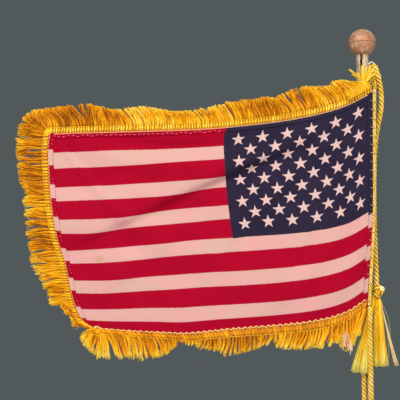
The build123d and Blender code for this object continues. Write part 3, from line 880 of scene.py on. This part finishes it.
# Where the loose yarn has parted: (X, Z, half width)
GAPS = [(-137.2, 232.5, 1.7), (-76.3, 230.4, 0.7), (-162, 195.5, 0.8), (-160.5, 176, 1.5), (-148.5, 139, 1.2)]
GAPS += [(-121.5, 113.6, 1.2), (-104.6, 113.2, 0.9), (-89, 118, 1.6), (-46.5, 118.8, 1.7), (-67.5, 115, 0.7)]


def ripple(s, seed, *waves):
    """A smooth uneven wave over s from 0 to 1, about -1 to 1 high, as a sum of (count, height) waves."""
    total = np.zeros_like(s)
    for n, (count, height) in enumerate(waves):
        bend = 1.3 * np.sin(2 * math.pi * count * 0.43 * s + seed)
        total += height * np.sin(2 * math.pi * (count * s + 0.37 * seed * (n + 1)) + bend)
    return total


def inward(u, v, turn):
    """Points on the cloth and the direction in it at a turn in degrees: 0 is down and 90 is to the hoist."""
    here = at_cloth(u, v)
    step = 0.01
    down = unit(at_cloth(u, v + step) - at_cloth(u, v - step))
    aside = unit(at_cloth(u - step, v) - at_cloth(u + step, v))
    turn = np.radians(turn)[..., None]
    return here, unit(down * np.cos(turn) + aside * np.sin(turn))


def bezier(points, share):
    """Points at each share, (curves, rings), along cubic curves with four control points of (curves, 3)."""
    weights = ((1 - share) ** 3, 3 * share * (1 - share) ** 2, 3 * share**2 * (1 - share), share**3)
    return sum(weight[..., None] * point[:, None] for weight, point in zip(weights, points))


# How far the bottom fringe stands forward beside the hoist, where the left tassel swings past behind it
STAND_OFF = 2.6 * MM


def fringe(
    side, start, stop, turn_from, turn, fan, pitch, tips, front, overlap,
    strands, spread, lean, sway, shade, tones, loose,
):
    """One side's fringe from start to stop, both (u, v), after a fan of bundles round its first corner.
    front is 1 where the header lies on the face of the cloth and -1 behind it, and overlap is how far it
    lies over the cloth. spread is the bundle's radius at its tip, sway how far it bends to and fro, and
    lean gives (share of the side, how far the tips are combed along it), in millimetres. loose is how
    late a bundle opens. shade is the tint at the header, at the root, halfway and at the tip, and tones
    adds (share, tint) to it."""

    def edge(share):
        """Where the edge of the cloth lies, as u and v, at shares of the way along this side."""
        return [a + (b - a) * share for a, b in zip(start, stop)]

    count = int(length_of(at_cloth(*edge(np.linspace(0, 1, 400)))) / (pitch * MM))
    share = (np.arange(count) + 0.5 + 0.16 * jitter(count)) / count
    u, v = edge(np.concatenate([np.zeros(fan), share]))
    turns = np.concatenate([np.linspace(turn_from, turn, fan + 2)[1:-1], np.full(count, float(turn))])
    root, inner = inward(u, v, turns)
    total = fan + count
    out = -inner
    out[:, 1] *= 0.35
    out = unit(out)
    normal = facing(u, v)
    normal[:fan] = normal[fan]
    along = unit(np.cross(out, normal))
    if np.dot(along[-1], root[-1] - root[fan]) < 0:
        along = -along
    comb = root + out * 9 * MM
    comb_reach = reached(comb)
    s = comb_reach / comb_reach[-1]
    tip_line = in_plane(tips, TIP_POINTS)
    apart = (tip_line[None] - comb[:, None]) * IN_PLANE
    nearest = np.argmin(np.linalg.norm(apart, axis=2), axis=1)
    nearest[:fan] = np.linspace(0, nearest[fan], fan, endpoint=False)
    nearest = np.convolve(np.pad(nearest.astype(float), 4, "edge"), np.full(9, 1 / 9), "valid")
    combed = np.interp(s, *zip(*lean)) * (1 + 0.15 * ripple(s, 4.0, (6.2, 0.7), (15.0, 0.5)))
    last = TIP_POINTS - 1
    tip = sample(tip_line, np.clip(nearest + combed * MM / length_of(tip_line) * last, 0, last))
    tip[:, 1] = root[:, 1] + front * 0.3 * MM
    for x, z, half in GAPS:
        away = (tip - np.array([x, 0, z]) * MM) * IN_PLANE
        near = np.linalg.norm(away, axis=1) < half * 1.6 * MM
        aside = np.sum(away * along, axis=1)
        push = np.clip(half * MM * 1.6 - np.abs(aside), 0, None) * 0.75
        tip += near[:, None] * along * (np.sign(aside) * push)[:, None]
    tip[:, 1] -= STAND_OFF * np.clip((root[:, 0] / MM + 27) / 9, 0, 1) * (root[:, 2] < 140 * MM)
    calm_tip = tip.copy()
    tufts = total / 3.6
    aside = ripple(s, 1.0, (tufts, 0.5), (tufts / 2.7, 0.5)) * 0.46 * MM + 0.30 * jitter(total) * MM
    tip += along * aside[:, None]
    longer = 0.040 * ripple(s, 7.0, (tufts / 2.1, 0.6), (tufts / 5.0, 0.8)) + 0.03 * jitter(total)
    tip += (tip - root) * longer[:, None]
    ahead = ripple(s, 2.0, (tufts / 1.7, 0.5), (9.0, 0.6)) * 0.9 * MM + 0.35 * jitter(total) * MM
    tip += normal * ahead[:, None]

    # Header: a rib for each bundle over a narrow tape, coloured dark as painted shade between the ribs
    t = np.linspace(0, 1, 7)
    rib_reach = (-overlap + (3.1 + overlap) * t)[None, :, None] * MM
    lift = (0.36 * front if front > 0 else -0.12) + 0.30 * np.sin(math.pi * t)[None, :, None]
    ribs = root[:, None] + out[:, None] * rib_reach + normal[:, None] * lift * MM
    slant = (0.22 * jitter(total, 1) + 0.16) * (t - 0.4) * 2 + 0.10 * np.sin(2 * math.pi * t)
    ribs += along[:, None] * slant[..., None] * MM
    girth = np.array(RIB_GIRTH) * pitch * (0.34 if front < 0 else 0.37) * MM
    # Painted light and shade: each rib is lighter in the middle, where it arches up, and darker at its ends, where
    # it dips to the tape
    rib_shading = shade[0] - 0.22 * np.cos(2 * math.pi * t) + 0.18 * jitter(total, 1)
    girth = girth * (1 + 0.12 * jitter(total, 1))
    tubes(f"fringe_header_{side}", ribs, girth, 6, rib_shading, FRINGE, "flag", "fringe_gold")
    across = np.linspace(-overlap, 3.0, 5)[None, :, None] * MM
    tape = root[:, None] + out[:, None] * across + normal[:, None] * (0.30 if front > 0 else -0.26) * MM
    band = finish(f"fringe_tape_{side}", grid_mesh("tape", tape), SHADED_TAPE, "flag")
    thicken(band, 0.24 * MM)

    # Picot along the inner edge of the header, and the chain row that holds its outer edge
    points, height, thread = (2.6, 0.42, 0.27) if front > 0 else (1.3, 0.24, 0.16)
    rows = [("picot", -overlap - height * 0.2, height, points, thread, 0.46, PICOT)]
    rows.append(("chain", 2.75, 0.16, 1.3, 0.13, 0.80 if front > 0 else 0.42, FRINGE))
    for kind, reach, rise, points, thread, above, material in rows:
        steps = int(comb_reach[-1] / (points * MM)) * 8
        pick = np.linspace(0, total - 1, steps)
        base, side_out, face = (sample(field, pick) for field in (root, out, normal))
        wave = np.abs(np.arange(steps) % 8 - 4) / 2 - 1
        above = above if front > 0 else above - 0.12
        path = base + side_out * (reach + rise * wave)[:, None] * MM + face * above * MM
        tint = 0.62 + 0.3 * np.abs(wave)
        row = (path[None], thread * MM, 5, tint[None])
        tubes(f"fringe_{kind}_{side}", *row, material, "flag", "fringe_gold")

    # Loose yarn: each bundle is a cluster of thin strands that opens towards its tip
    base = root + out * FOLD_OUT + normal * (0.45 * max(front, 0)) * MM
    t = np.linspace(0, 1, BEZIER_RINGS)
    zone = 0.13 * ripple(s, 3.0, (2.7, 0.7), (7.1, 0.6)) + 0.06 * jitter(total) + np.interp(s, *zip(*tones))
    phase = ripple(s, 5.0, (11.0, 0.35), (4.3, 0.3)) + 0.10 * jitter(total)
    bend = sway * (1 + 0.4 * jitter(total)) * MM

    def bundle(end, w):
        """The curve of each bundle from its base to an end, at shares w of the way."""
        reach = np.linalg.norm(end - base, axis=1, keepdims=True)
        towards = unit(end - base)
        one = base + unit(out * 0.8 + towards * 0.4) * reach * 0.40 + along * wobble[0] * MM
        two = end - unit(towards + 0.25 * out) * reach * 0.30 + along * wobble[1] * MM
        swing = np.sin(2 * math.pi * (0.8 * w + phase[:, None])) - np.sin(2 * math.pi * phase[:, None])
        return bezier((base, one, two, end), w) + along[:, None] * (bend[:, None] * swing * w)[..., None]

    wobble = 0.35 * jitter(2, total, 1)
    strands_at, radii, tints = [], [], []
    blended = shade[1] * 0.6 + shade[2] * 0.4
    tone = np.interp(t, (0, 0.25, 0.6, 1.0), (shade[1], blended, shade[2], shade[3]))
    for k in range(strands):
        angle = k * GOLDEN_ANGLE + 2 * math.pi * rng.random((total, 1)) * 0.12
        off = math.sqrt((k + 0.5) / strands)
        stray = 1 + 1.6 * (rng.random((total, 1)) > 0.92)
        ends = 1.03 - 0.17 * rng.random((total, 1)) ** 1.6
        w = t[None] * ends
        curve = bundle(tip, w)
        width = (0.36 + (spread * stray - 0.36) * t[None] ** loose) * MM
        winding = angle + 2.6 * t[None]
        crimp = 0.13 * MM * t[None] * np.sin(2 * math.pi * (2.3 * t[None] + rng.random((total, 1))))
        curve = curve + along[:, None] * (off * width * np.cos(winding) + crimp)[..., None]
        curve = curve + normal[:, None] * (off * width * 0.8 * np.sin(winding) + crimp * 0.5)[..., None]
        strands_at.append(curve)
        radii.append(YARN_R * (1.30 - 0.50 * t[None] ** 2) * (1 + 0.2 * jitter(total, 1)))
        # Painted shade: the strands on one face of each bundle are darker than those on the other
        tints.append(tone[None] + zone[:, None] + 0.31 * jitter(total, 1) - 0.22 * off * np.sin(winding))
    yarn = (np.concatenate(strands_at), np.concatenate(radii), 4, np.concatenate(tints))
    tubes(f"fringe_yarn_{side}", *yarn, FRINGE, "flag", "fringe_gold", (f"fringe_{side}",))

    # A denser layer behind that closes the gaps between the bundles, its dark tint painted shade deep in the fringe
    behind_at, tints = [], []
    for k in range(UNDER):
        w = t[None] * (0.82 + 0.14 * rng.random((total, 1)))
        aside = (k / UNDER - 0.4 + 0.2 * jitter(total, 1)) * pitch * (1 + 0.25 * t) * MM
        depth = (-0.55 - 0.3 * rng.random((total, 1)) + 0 * t) * MM
        shifted = along[:, None] * aside[..., None] + normal[:, None] * depth[..., None]
        behind_at.append(bundle(calm_tip, w) + shifted)
        tints.append(0.16 + 0.22 * w + 0.08 * jitter(total, 1) + 0.5 * zone[:, None])
    behind = (np.concatenate(behind_at), YARN_R * 1.9, 4, np.concatenate(tints))
    tubes(f"fringe_behind_{side}", *behind, FRINGE, "flag", "fringe_gold")


# The tones paint light and shade along each side: the yarn is lighter where it catches the light and darker where
# it lies in shade
TOP_LEAN = [(0, 9), (0.1, 6.5), (0.3, 4.5), (0.8, 5), (0.87, 4), (0.92, 7), (1, 7)]
TOP_TONES = [(0, 0.10), (0.10, 0.05), (0.18, -0.12), (0.36, -0.12), (0.50, 0.12), (0.72, 0.12)]
TOP_TONES += [(0.78, -0.22), (1, -0.24)]
FLY_LEAN = [(0, 0), (1, 0)]
FLY_TONES = [(0, -0.2), (0.2, -0.08), (0.4, 0.04), (1, 0.04)]
BOTTOM_LEAN = [(0, 0), (0.12, 0), (0.3, -2.0), (0.45, -4.5), (0.6, -3.5), (0.75, -4), (1, -3)]
BOTTOM_TONES = [(0, 0.0), (0.3, 0.06), (0.5, -0.06), (0.8, 0.0), (1, 0.1)]
fringe(
    "top", (0, 0), (1, 0), 0, 0, 0, 1.3, TOP_TIPS, -1, 0.25,
    22, 0.90, TOP_LEAN, 0.40, (0.66, 0.76, 0.54, 0.76), TOP_TONES, 0.9,
)
fringe(
    "fly", (1, 0), (1, 1), -8, 90, 15, 1.4, FLY_TIPS, -1, 0.25,
    22, 0.94, FLY_LEAN, 0.70, (0.52, 0.50, 0.46, 0.80), FLY_TONES, 1.0,
)
fringe(
    "bottom", (1, 0.998), (0, 0.974), 90, 180, 14, 1.5, BOTTOM_TIPS, 1, 1.2,
    24, 0.80, BOTTOM_LEAN, 0.50, (0.28, 0.42, 0.68, 1.05), BOTTOM_TONES, 1.4,
)

# Yarn that stands up past the top of the hoist, in a tangle against the staff
SPIKES = [(-7.6, 248.1), (-6.2, 245.8), (-3.6, 246.6), (-2.2, 244.8), (-1.4, 249.9), (-0.2, 247.2)]
SPIKES += [(0.8, 249.3), (2.4, 250.2), (2.2, 246.8), (3.8, 248.6), (3.4, 245.6), (1.2, 244.6)]
SPIKES += [(5.0, 246.6), (0.4, 246.2), (2.8, 248.0), (4.4, 244.2)]
SPIKE_STRANDS = 12
spikes = []
for n, (x, z) in enumerate(SPIKES):
    low = at_cloth(np.array([0.004 + 0.005 * n]), np.array([0.0]))[0]
    low = low + np.array([0, -0.2 - 0.10 * n, 2.0]) * MM
    top = np.array([x * MM, flag_y + (1.2 + 0.5 * (n % 4)) * MM, z * MM])
    t = np.linspace(0, 1, 9)[:, None]
    belly = (0.9 if n % 2 else -0.7) * (0.5 + 0.3 * (n % 3))
    middle = low * (1 - t) + top * t + np.array([belly, 0, 0.4]) * MM * np.sin(math.pi * t)
    for k in range(SPIKE_STRANDS):
        angle, off = k * GOLDEN_ANGLE, math.sqrt((k + 0.5) / SPIKE_STRANDS)
        width = 0.80 - 0.30 * t + 0.18 * jitter(1)
        spikes.append(middle + np.array([math.cos(angle), math.sin(angle), 0]) * off * width * MM)
spikes = np.array(spikes)
spike_tint = 0.66 + 0.25 * jitter(len(spikes), 1) + 0.2 * np.linspace(0, 1, 9)
tubes("fringe_spikes", spikes, YARN_R * 1.15, 5, spike_tint, FRINGE, "flag", "fringe_gold")

# A faded lock that comes forward through the bottom fringe, beside the hoist
LOCK_STRANDS = 34
across = np.linspace(-1, 1, LOCK_STRANDS)[:, None]
fall = np.linspace(0, 1, 9)[None]
lock_x = -11.6 + 2.0 * across * (0.4 + fall) + 1.2 * fall**2 * np.sin(across * 5)
lock_x = lock_x + 0.25 * jitter(LOCK_STRANDS, 1)
lock_z = 125.2 - (8.3 + 1.6 * across + 1.2 * np.sin(across * 9) + 0.6 * jitter(LOCK_STRANDS, 1)) * fall
lock_y = flag_y / MM + 0.5 - 5.0 * fall + 0.35 * jitter(LOCK_STRANDS, 1)
lock = np.stack([lock_x, lock_y, lock_z], axis=-1) * MM
lock_tint = 0.45 + 0.4 * fall + 0.2 * jitter(LOCK_STRANDS, 1)
tubes("fringe_faded_lock", lock, 0.14 * MM, 5, lock_tint, TAN, "flag", "fringe_gold")


# ---------------------------------------------------------------- knots and the cord's loop


def knot(centre, wide, deep, tall, turn):
    """The line of an overhand knot drawn up tight round a centre, sizes in millimetres."""
    t = np.linspace(0, 2 * math.pi, 120) + turn
    x = (np.sin(t) + 2 * np.sin(2 * t)) / 3 * wide
    z = (np.cos(t) - 2 * np.cos(2 * t)) / 3 * tall
    return centre + np.column_stack([x, -np.sin(3 * t) * deep, z]) * MM


def wrapped(centre, wide, deep, tall, turns):
    """The line of a cord wound round and round from the bottom up."""
    t = np.linspace(0, 1, int(60 * turns))
    angle = 2 * math.pi * turns * t
    return centre + np.column_stack([np.cos(angle) * wide, np.sin(angle) * deep, (t - 0.5) * tall]) * MM


bottom_knot = centre("knot_bottom")
end_knot = centre("tassel_knot")

t = np.linspace(0, 2 * math.pi, 90) + 0.6
ring = centre("cord_loop") + np.column_stack([0 * t, np.cos(t) * 1.9, np.sin(t) * 1.9]) * MM
twisted("cord_loop", ring, 2.2 * MM, 5.0 * MM, "staff", 0.6)
twisted("knot_top", knot(centre("knot_top"), 2.3, 1.7, 2.8, 0.4), 2.2 * MM, 4.8 * MM, "staff", 0.55)
twisted("knot_bottom", wrapped(bottom_knot, 2.45, 1.9, 4.2, 3.2), 1.9 * MM, 5.2 * MM, "staff", 0.6)
line = knot(end_knot + np.array([0.1, -0.2, 0.1]) * MM, 2.15, 1.5, 3.1, 1.1)
knot_piece = twisted("tassel_knot", line, 2.3 * MM, 5.6 * MM, "staff")
t = np.linspace(-0.2, 0.85, 50)[:, None] * math.pi
arc = np.column_stack([np.cos(t) * 0.55, 0 * t, np.sin(t) * 0.75]) * MM
button = end_knot + np.array([1.5, -1.9, 1.2]) * MM + arc
knob = twisted("tassel_knot_button", button, 2.6 * MM, 4.8 * MM, "staff", 0.95, False)
BIGHT_ROUTE = [(3.2, -5.7, 141.6), (2.1, -6.6, 140.6), (1.7, -6.75, 138.8)]
twisted("tassel_bight", route(BIGHT_ROUTE), 1.1 * MM, 3.0 * MM, "staff")
for n, (aside, ahead) in enumerate(((1.6, -1.6), (-1.9, -1.2))):
    points = [(0, 0, -1.5), (aside * 0.6, ahead * 0.8, -3.4)]
    points += [(aside, ahead, -6.0), (aside * 1.15, ahead * 0.9, -8.6)]
    tail = route([tuple(bottom_knot / MM + np.array(p)) for p in points])
    twisted(f"knot_tail_{n + 1}", tail, 1.7 * MM, 4.6 * MM, "staff", 0.55, False)


# ---------------------------------------------------------------- tassels


# A tassel's radius near its head, as (millimetres below the pivot, share of the neck)
NECK_LINE = [(-1.2, 0.50), (0.2, 0.92), (2.4, 1.08), (4.8, 0.98), (5.6, 0.90), (6.4, 1.0), (9.0, 1.14)]


def tassel(side, outward, neck, foot_r, deep_r, strands, shade):
    """A tassel along its own axis: a wound head, a binding and a skirt of long strands.
    outward is 1 where the foot lies towards +X from the pivot and -1 towards -X."""
    body = f"tassel_{side}"

    def wound(part, *shape, replaced=()):
        tubes(f"{body}_{part}", *shape, TASSEL, body, "tassel_gold", replaced or (f"{body}_{part}",))

    pivot = joint(f"{body}_swing")
    low, high = corners(f"{body}_skirt")
    foot_x = high[0] - foot_r * MM if outward > 0 else low[0] + foot_r * MM
    foot = np.array([foot_x, (low[1] + high[1]) / 2, low[2] + 0.6 * MM])
    down = unit(foot - pivot)
    length = np.linalg.norm(foot - pivot)
    wide = unit(np.cross(down, [0, 1, 0]))
    deep = np.cross(wide, down)
    core = pivot + down * np.linspace(0.2, 6.0, 8)[:, None] * MM
    girth = np.array([0.4, 0.7, 1.0, 1.0, 1.0, 1.0, 1.0, 0.9]) * (neck - 0.5) * MM
    wound("core", core[None], girth[None], 12, 0.3, replaced=(f"{body}_head",))
    t = np.linspace(0, 1, 120)
    coil = 2 * math.pi * 3.4 * t
    bind = pivot + down * (5.0 + 1.4 * t[:, None]) * MM
    bind = bind + (wide * np.cos(coil)[:, None] + deep * np.sin(coil)[:, None]) * (neck + 0.02) * MM
    wound("binding", bind[None], 0.20 * MM, 7, 0.60)

    n = np.arange(strands)
    angle = n * GOLDEN_ANGLE + 0.1 * jitter(strands)
    share = np.sqrt((n + 0.5) / strands)
    clump = 0.10 * np.sin(3 * angle + 0.5) + 0.07 * np.sin(7 * angle + 2.0)
    ring_x, ring_y = np.cos(angle + clump), np.sin(angle + clump)
    ends = length + (1.2 - 1.6 * rng.random(strands) ** 1.5 - 0.8 * np.abs(np.sin(2.5 * angle))) * MM
    t = np.concatenate([np.linspace(0, 0.2, 7), np.linspace(0.28, 1, 8)])[None]
    depth = -1.2 * MM + (ends[:, None] + 1.2 * MM) * t
    past = depth / MM
    neck_line = np.interp(past, *zip(*NECK_LINE)) * neck
    opening = np.clip((past - 8.0) / (length / MM - 8.0), 0, 1) ** 1.25
    flare = neck_line + opening * (foot_r - neck * 1.14)
    flare_deep = neck_line + opening * (deep_r - neck * 1.14)
    wander = 0.16 * np.sin(2 * math.pi * (1.1 * t + rng.random((strands, 1)))) * t
    x = share[:, None] * ring_x[:, None] * flare + wander + 0.30 * jitter(strands, 1) * t**2
    y = share[:, None] * ring_y[:, None] * flare_deep + np.roll(wander, 3, axis=0)
    paths = pivot + down * depth[..., None] + (wide * x[..., None] + deep * y[..., None]) * MM
    paths = paths - UP * (0.25 * MM * t**2)[..., None]
    radii = (0.17 - 0.05 * t**2) * (1 + 0.25 * jitter(strands, 1)) * MM
    tone = np.interp(t, (0, 0.25, 0.6, 1.0), shade) + 0.20 * jitter(strands, 1)
    tone = tone + 0.12 * np.sin(4 * angle)[:, None]
    wound("skirt", paths, radii, 5, tone)


tassel("left", -1, 1.42, 4.4, 1.9, 190, (0.45, 0.55, 0.70, 1.1))
tassel("right", 1, 2.0, 3.7, 2.9, 230, (0.62, 0.66, 0.58, 1.0))

# A long lock that has slipped out of the right tassel, and single threads that hang free
LOCK_ROUTE = [(5.4, -5.3, 137.6), (6.8, -5.6, 133.0), (8.8, -5.8, 124.0), (10.9, -5.9, 114.5)]
LOCK_ROUTE += [(12.9, -5.9, 107.0)]
LOCK_RINGS, LOCK_YARNS = 14, 16
lock_line = even(route(LOCK_ROUTE), LOCK_RINGS)
drop = np.linspace(0, 1, LOCK_RINGS)[:, None]
strays = []
for n in range(LOCK_YARNS):
    angle = n * GOLDEN_ANGLE
    off = math.sqrt((n + 0.5) / LOCK_YARNS) * (0.28 + 0.85 * drop**2.2) * MM
    towards = np.array([math.cos(angle), math.sin(angle) * 0.7, 0.15 * math.sin(angle)])
    strays.append(lock_line + towards * off)
for start, end in (((6.3, -5.2, 137.0), (10.2, -5.5, 120.5)), ((6.0, -6.6, 135.0), (8.9, -6.9, 106.6))):
    bowed = np.array([1.3, 0, 0]) * np.sin(math.pi * drop)
    strays.append((np.array(start) + (np.array(end) - start) * drop + bowed) * MM)
thick = np.array([0.14] * LOCK_YARNS + [0.08] * 2)[:, None] * MM
stray_tint = 0.75 + 0.2 * jitter(len(strays), 1)
tubes("tassel_right_lock", strays, thick, 5, stray_tint, FRAYED, "tassel_right", "tassel_gold")


# ---------------------------------------------------------------- wire eye at the top

EYE_R = 1.45
eye = centre("top_eye")
t = np.linspace(0, 1, 40)[:, None]
angle = math.radians(-150) + t * math.radians(300)
bend = np.column_stack([-np.cos(angle) * EYE_R, 0 * t, np.sin(angle) * EYE_R * 1.15])
shank = np.linspace(0, 1, 8)[:, None]
eye_at = np.array([4.55 * MM, eye[1], eye[2]])
legs = [np.column_stack([-1.2 - 1.0 * shank, 0 * shank, z * (1 - 0.6 * shank)]) for z in bend[[0, -1], 2]]
wire = np.vstack([legs[0][::-1], bend[1:-1] * [-1, 1, 1], legs[1]]) * MM + eye_at
tubes("top_eye_wire", even(wire, 60)[None], 0.36 * MM, 10, 0.5, WIRE, "staff", "eye_wire", ("top_eye",))


# ---------------------------------------------------------------- finial ball

BALL_R = (ball_high[0] - ball_low[0]) / 2


def dent(mesh, middle, depth, scale, seed):
    """Pushes each point in or out from a middle by smooth noise."""
    for vertex in mesh.vertices:
        out = vertex.co - middle
        wave = noise.noise(out.normalized() * scale + Vector((seed, 0, 0)))
        wave += 0.5 * noise.noise(out.normalized() * scale * 2.7 + Vector((0, seed, 0)))
        vertex.co += out.normalized() * wave * depth


def ball_half(name, upper, node):
    """Half of the hollow ball, pressed from thin sheet, with a soft rim where the halves meet."""
    bpy.ops.object.select_all(action="DESELECT")
    bpy.ops.mesh.primitive_uv_sphere_add(segments=96, ring_count=63, radius=BALL_R, location=(0, 0, ball_z))
    half = bpy.context.object
    bpy.ops.object.transform_apply(location=True)
    bpy.ops.object.mode_set(mode="EDIT")
    bpy.ops.mesh.select_all(action="SELECT")
    level = ball_z + (0.06 if upper else -0.06) * MM
    bpy.ops.mesh.bisect(
        plane_co=(0, 0, level), plane_no=(0, 0, 1), use_fill=True, clear_inner=upper, clear_outer=not upper
    )
    bpy.ops.mesh.bevel(offset=0.16 * MM, segments=3)
    bpy.ops.object.mode_set(mode="OBJECT")
    half.name = name
    half.data.name = name
    dent(half.data, Vector((0, 0, ball_z)), 0.07 * MM, 3.2, 4.0 if upper else 9.0)
    half.data.materials.append(BALL)
    bpy.ops.object.shade_smooth_by_angle(angle=math.radians(50))
    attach(half, "finial")
    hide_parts(node)


ball_half("ball_upper", True, "finial_upper")
ball_half("ball_lower", False, "finial_lower")


# ---------------------------------------------------------------- rolled staff

STAFF_R = (staff_high[0] - staff_low[0]) / 2
SHEET_T = 0.45 * MM
SEAM_AT = math.radians(-90 - 21)
ROUND, LEVELS = 60, 420


def rolled_staff():
    """Thin sheet rolled into a tube: its ragged edges don't quite meet, and the gap opens at the top."""
    z = np.linspace(staff_low[2], staff_high[2], LEVELS)
    from_top = (staff_high[2] - z) / MM
    gap = 1.0 + 1.2 * np.exp(-from_top / 2.6) + 0.45 * np.exp(-(((from_top - 8.3) / 0.9) ** 2))
    wander = 0.10 * np.sin(from_top * 0.9) + 0.05 * np.sin(from_top * 2.3 + 1)
    torn = [[noise.noise(Vector((h * 1.3, side, 0))) for h in from_top] for side in (0.0, 7.0)]
    ragged = 0.18 * np.array(torn)
    start = (gap / 2 + wander + ragged[0]) * MM / STAFF_R
    end = 2 * math.pi - (gap / 2 - wander + ragged[1]) * MM / STAFF_R
    share = np.linspace(0, 1, ROUND)
    share = share - 0.06 * np.sin(4 * math.pi * share) / 2
    angle = SEAM_AT + start[:, None] + (end - start)[:, None] * share[None]
    lip = 0.16 * MM * (np.exp(-share / 0.02) + np.exp(-(1 - share) / 0.02))
    round_it = [(math.cos(a) * 2.2, math.sin(a) * 2.2) for a in angle[0]]
    bumps = np.array([[noise.noise(Vector((*at, h * 0.45))) for at in round_it] for h in from_top])
    outer = STAFF_R - lip[None] + bumps * 0.09 * MM - 0.05 * MM
    rings = []
    for radius in (outer, outer[:, ::-1] - SHEET_T):
        turned = angle if radius is outer else angle[:, ::-1]
        level = np.broadcast_to(z[:, None], turned.shape)
        rings.append(np.stack([np.cos(turned) * radius, np.sin(turned) * radius, level], axis=-1))
    points = np.concatenate(rings, axis=1)
    loop_n = 2 * ROUND
    index = np.arange(LEVELS * loop_n).reshape(LEVELS, loop_n)
    ahead = np.roll(index, -1, axis=1)
    sides = np.stack([index[:-1], ahead[:-1], ahead[1:], index[1:]], axis=-1).reshape(-1, 4).tolist()
    for level, order in ((0, -1), (-1, 1)):
        for n in range(ROUND - 1):
            quad = index[level, [n, n + 1, loop_n - 2 - n, loop_n - 1 - n]]
            sides.append(quad[::order].tolist())
    mesh = bpy.data.meshes.new("staff_rolled_tube")
    mesh.from_pydata(points.reshape(-1, 3).tolist(), [], sides)
    finish("staff_rolled_tube", mesh, STAFF, "staff", ("staff_tube",))


rolled_staff()
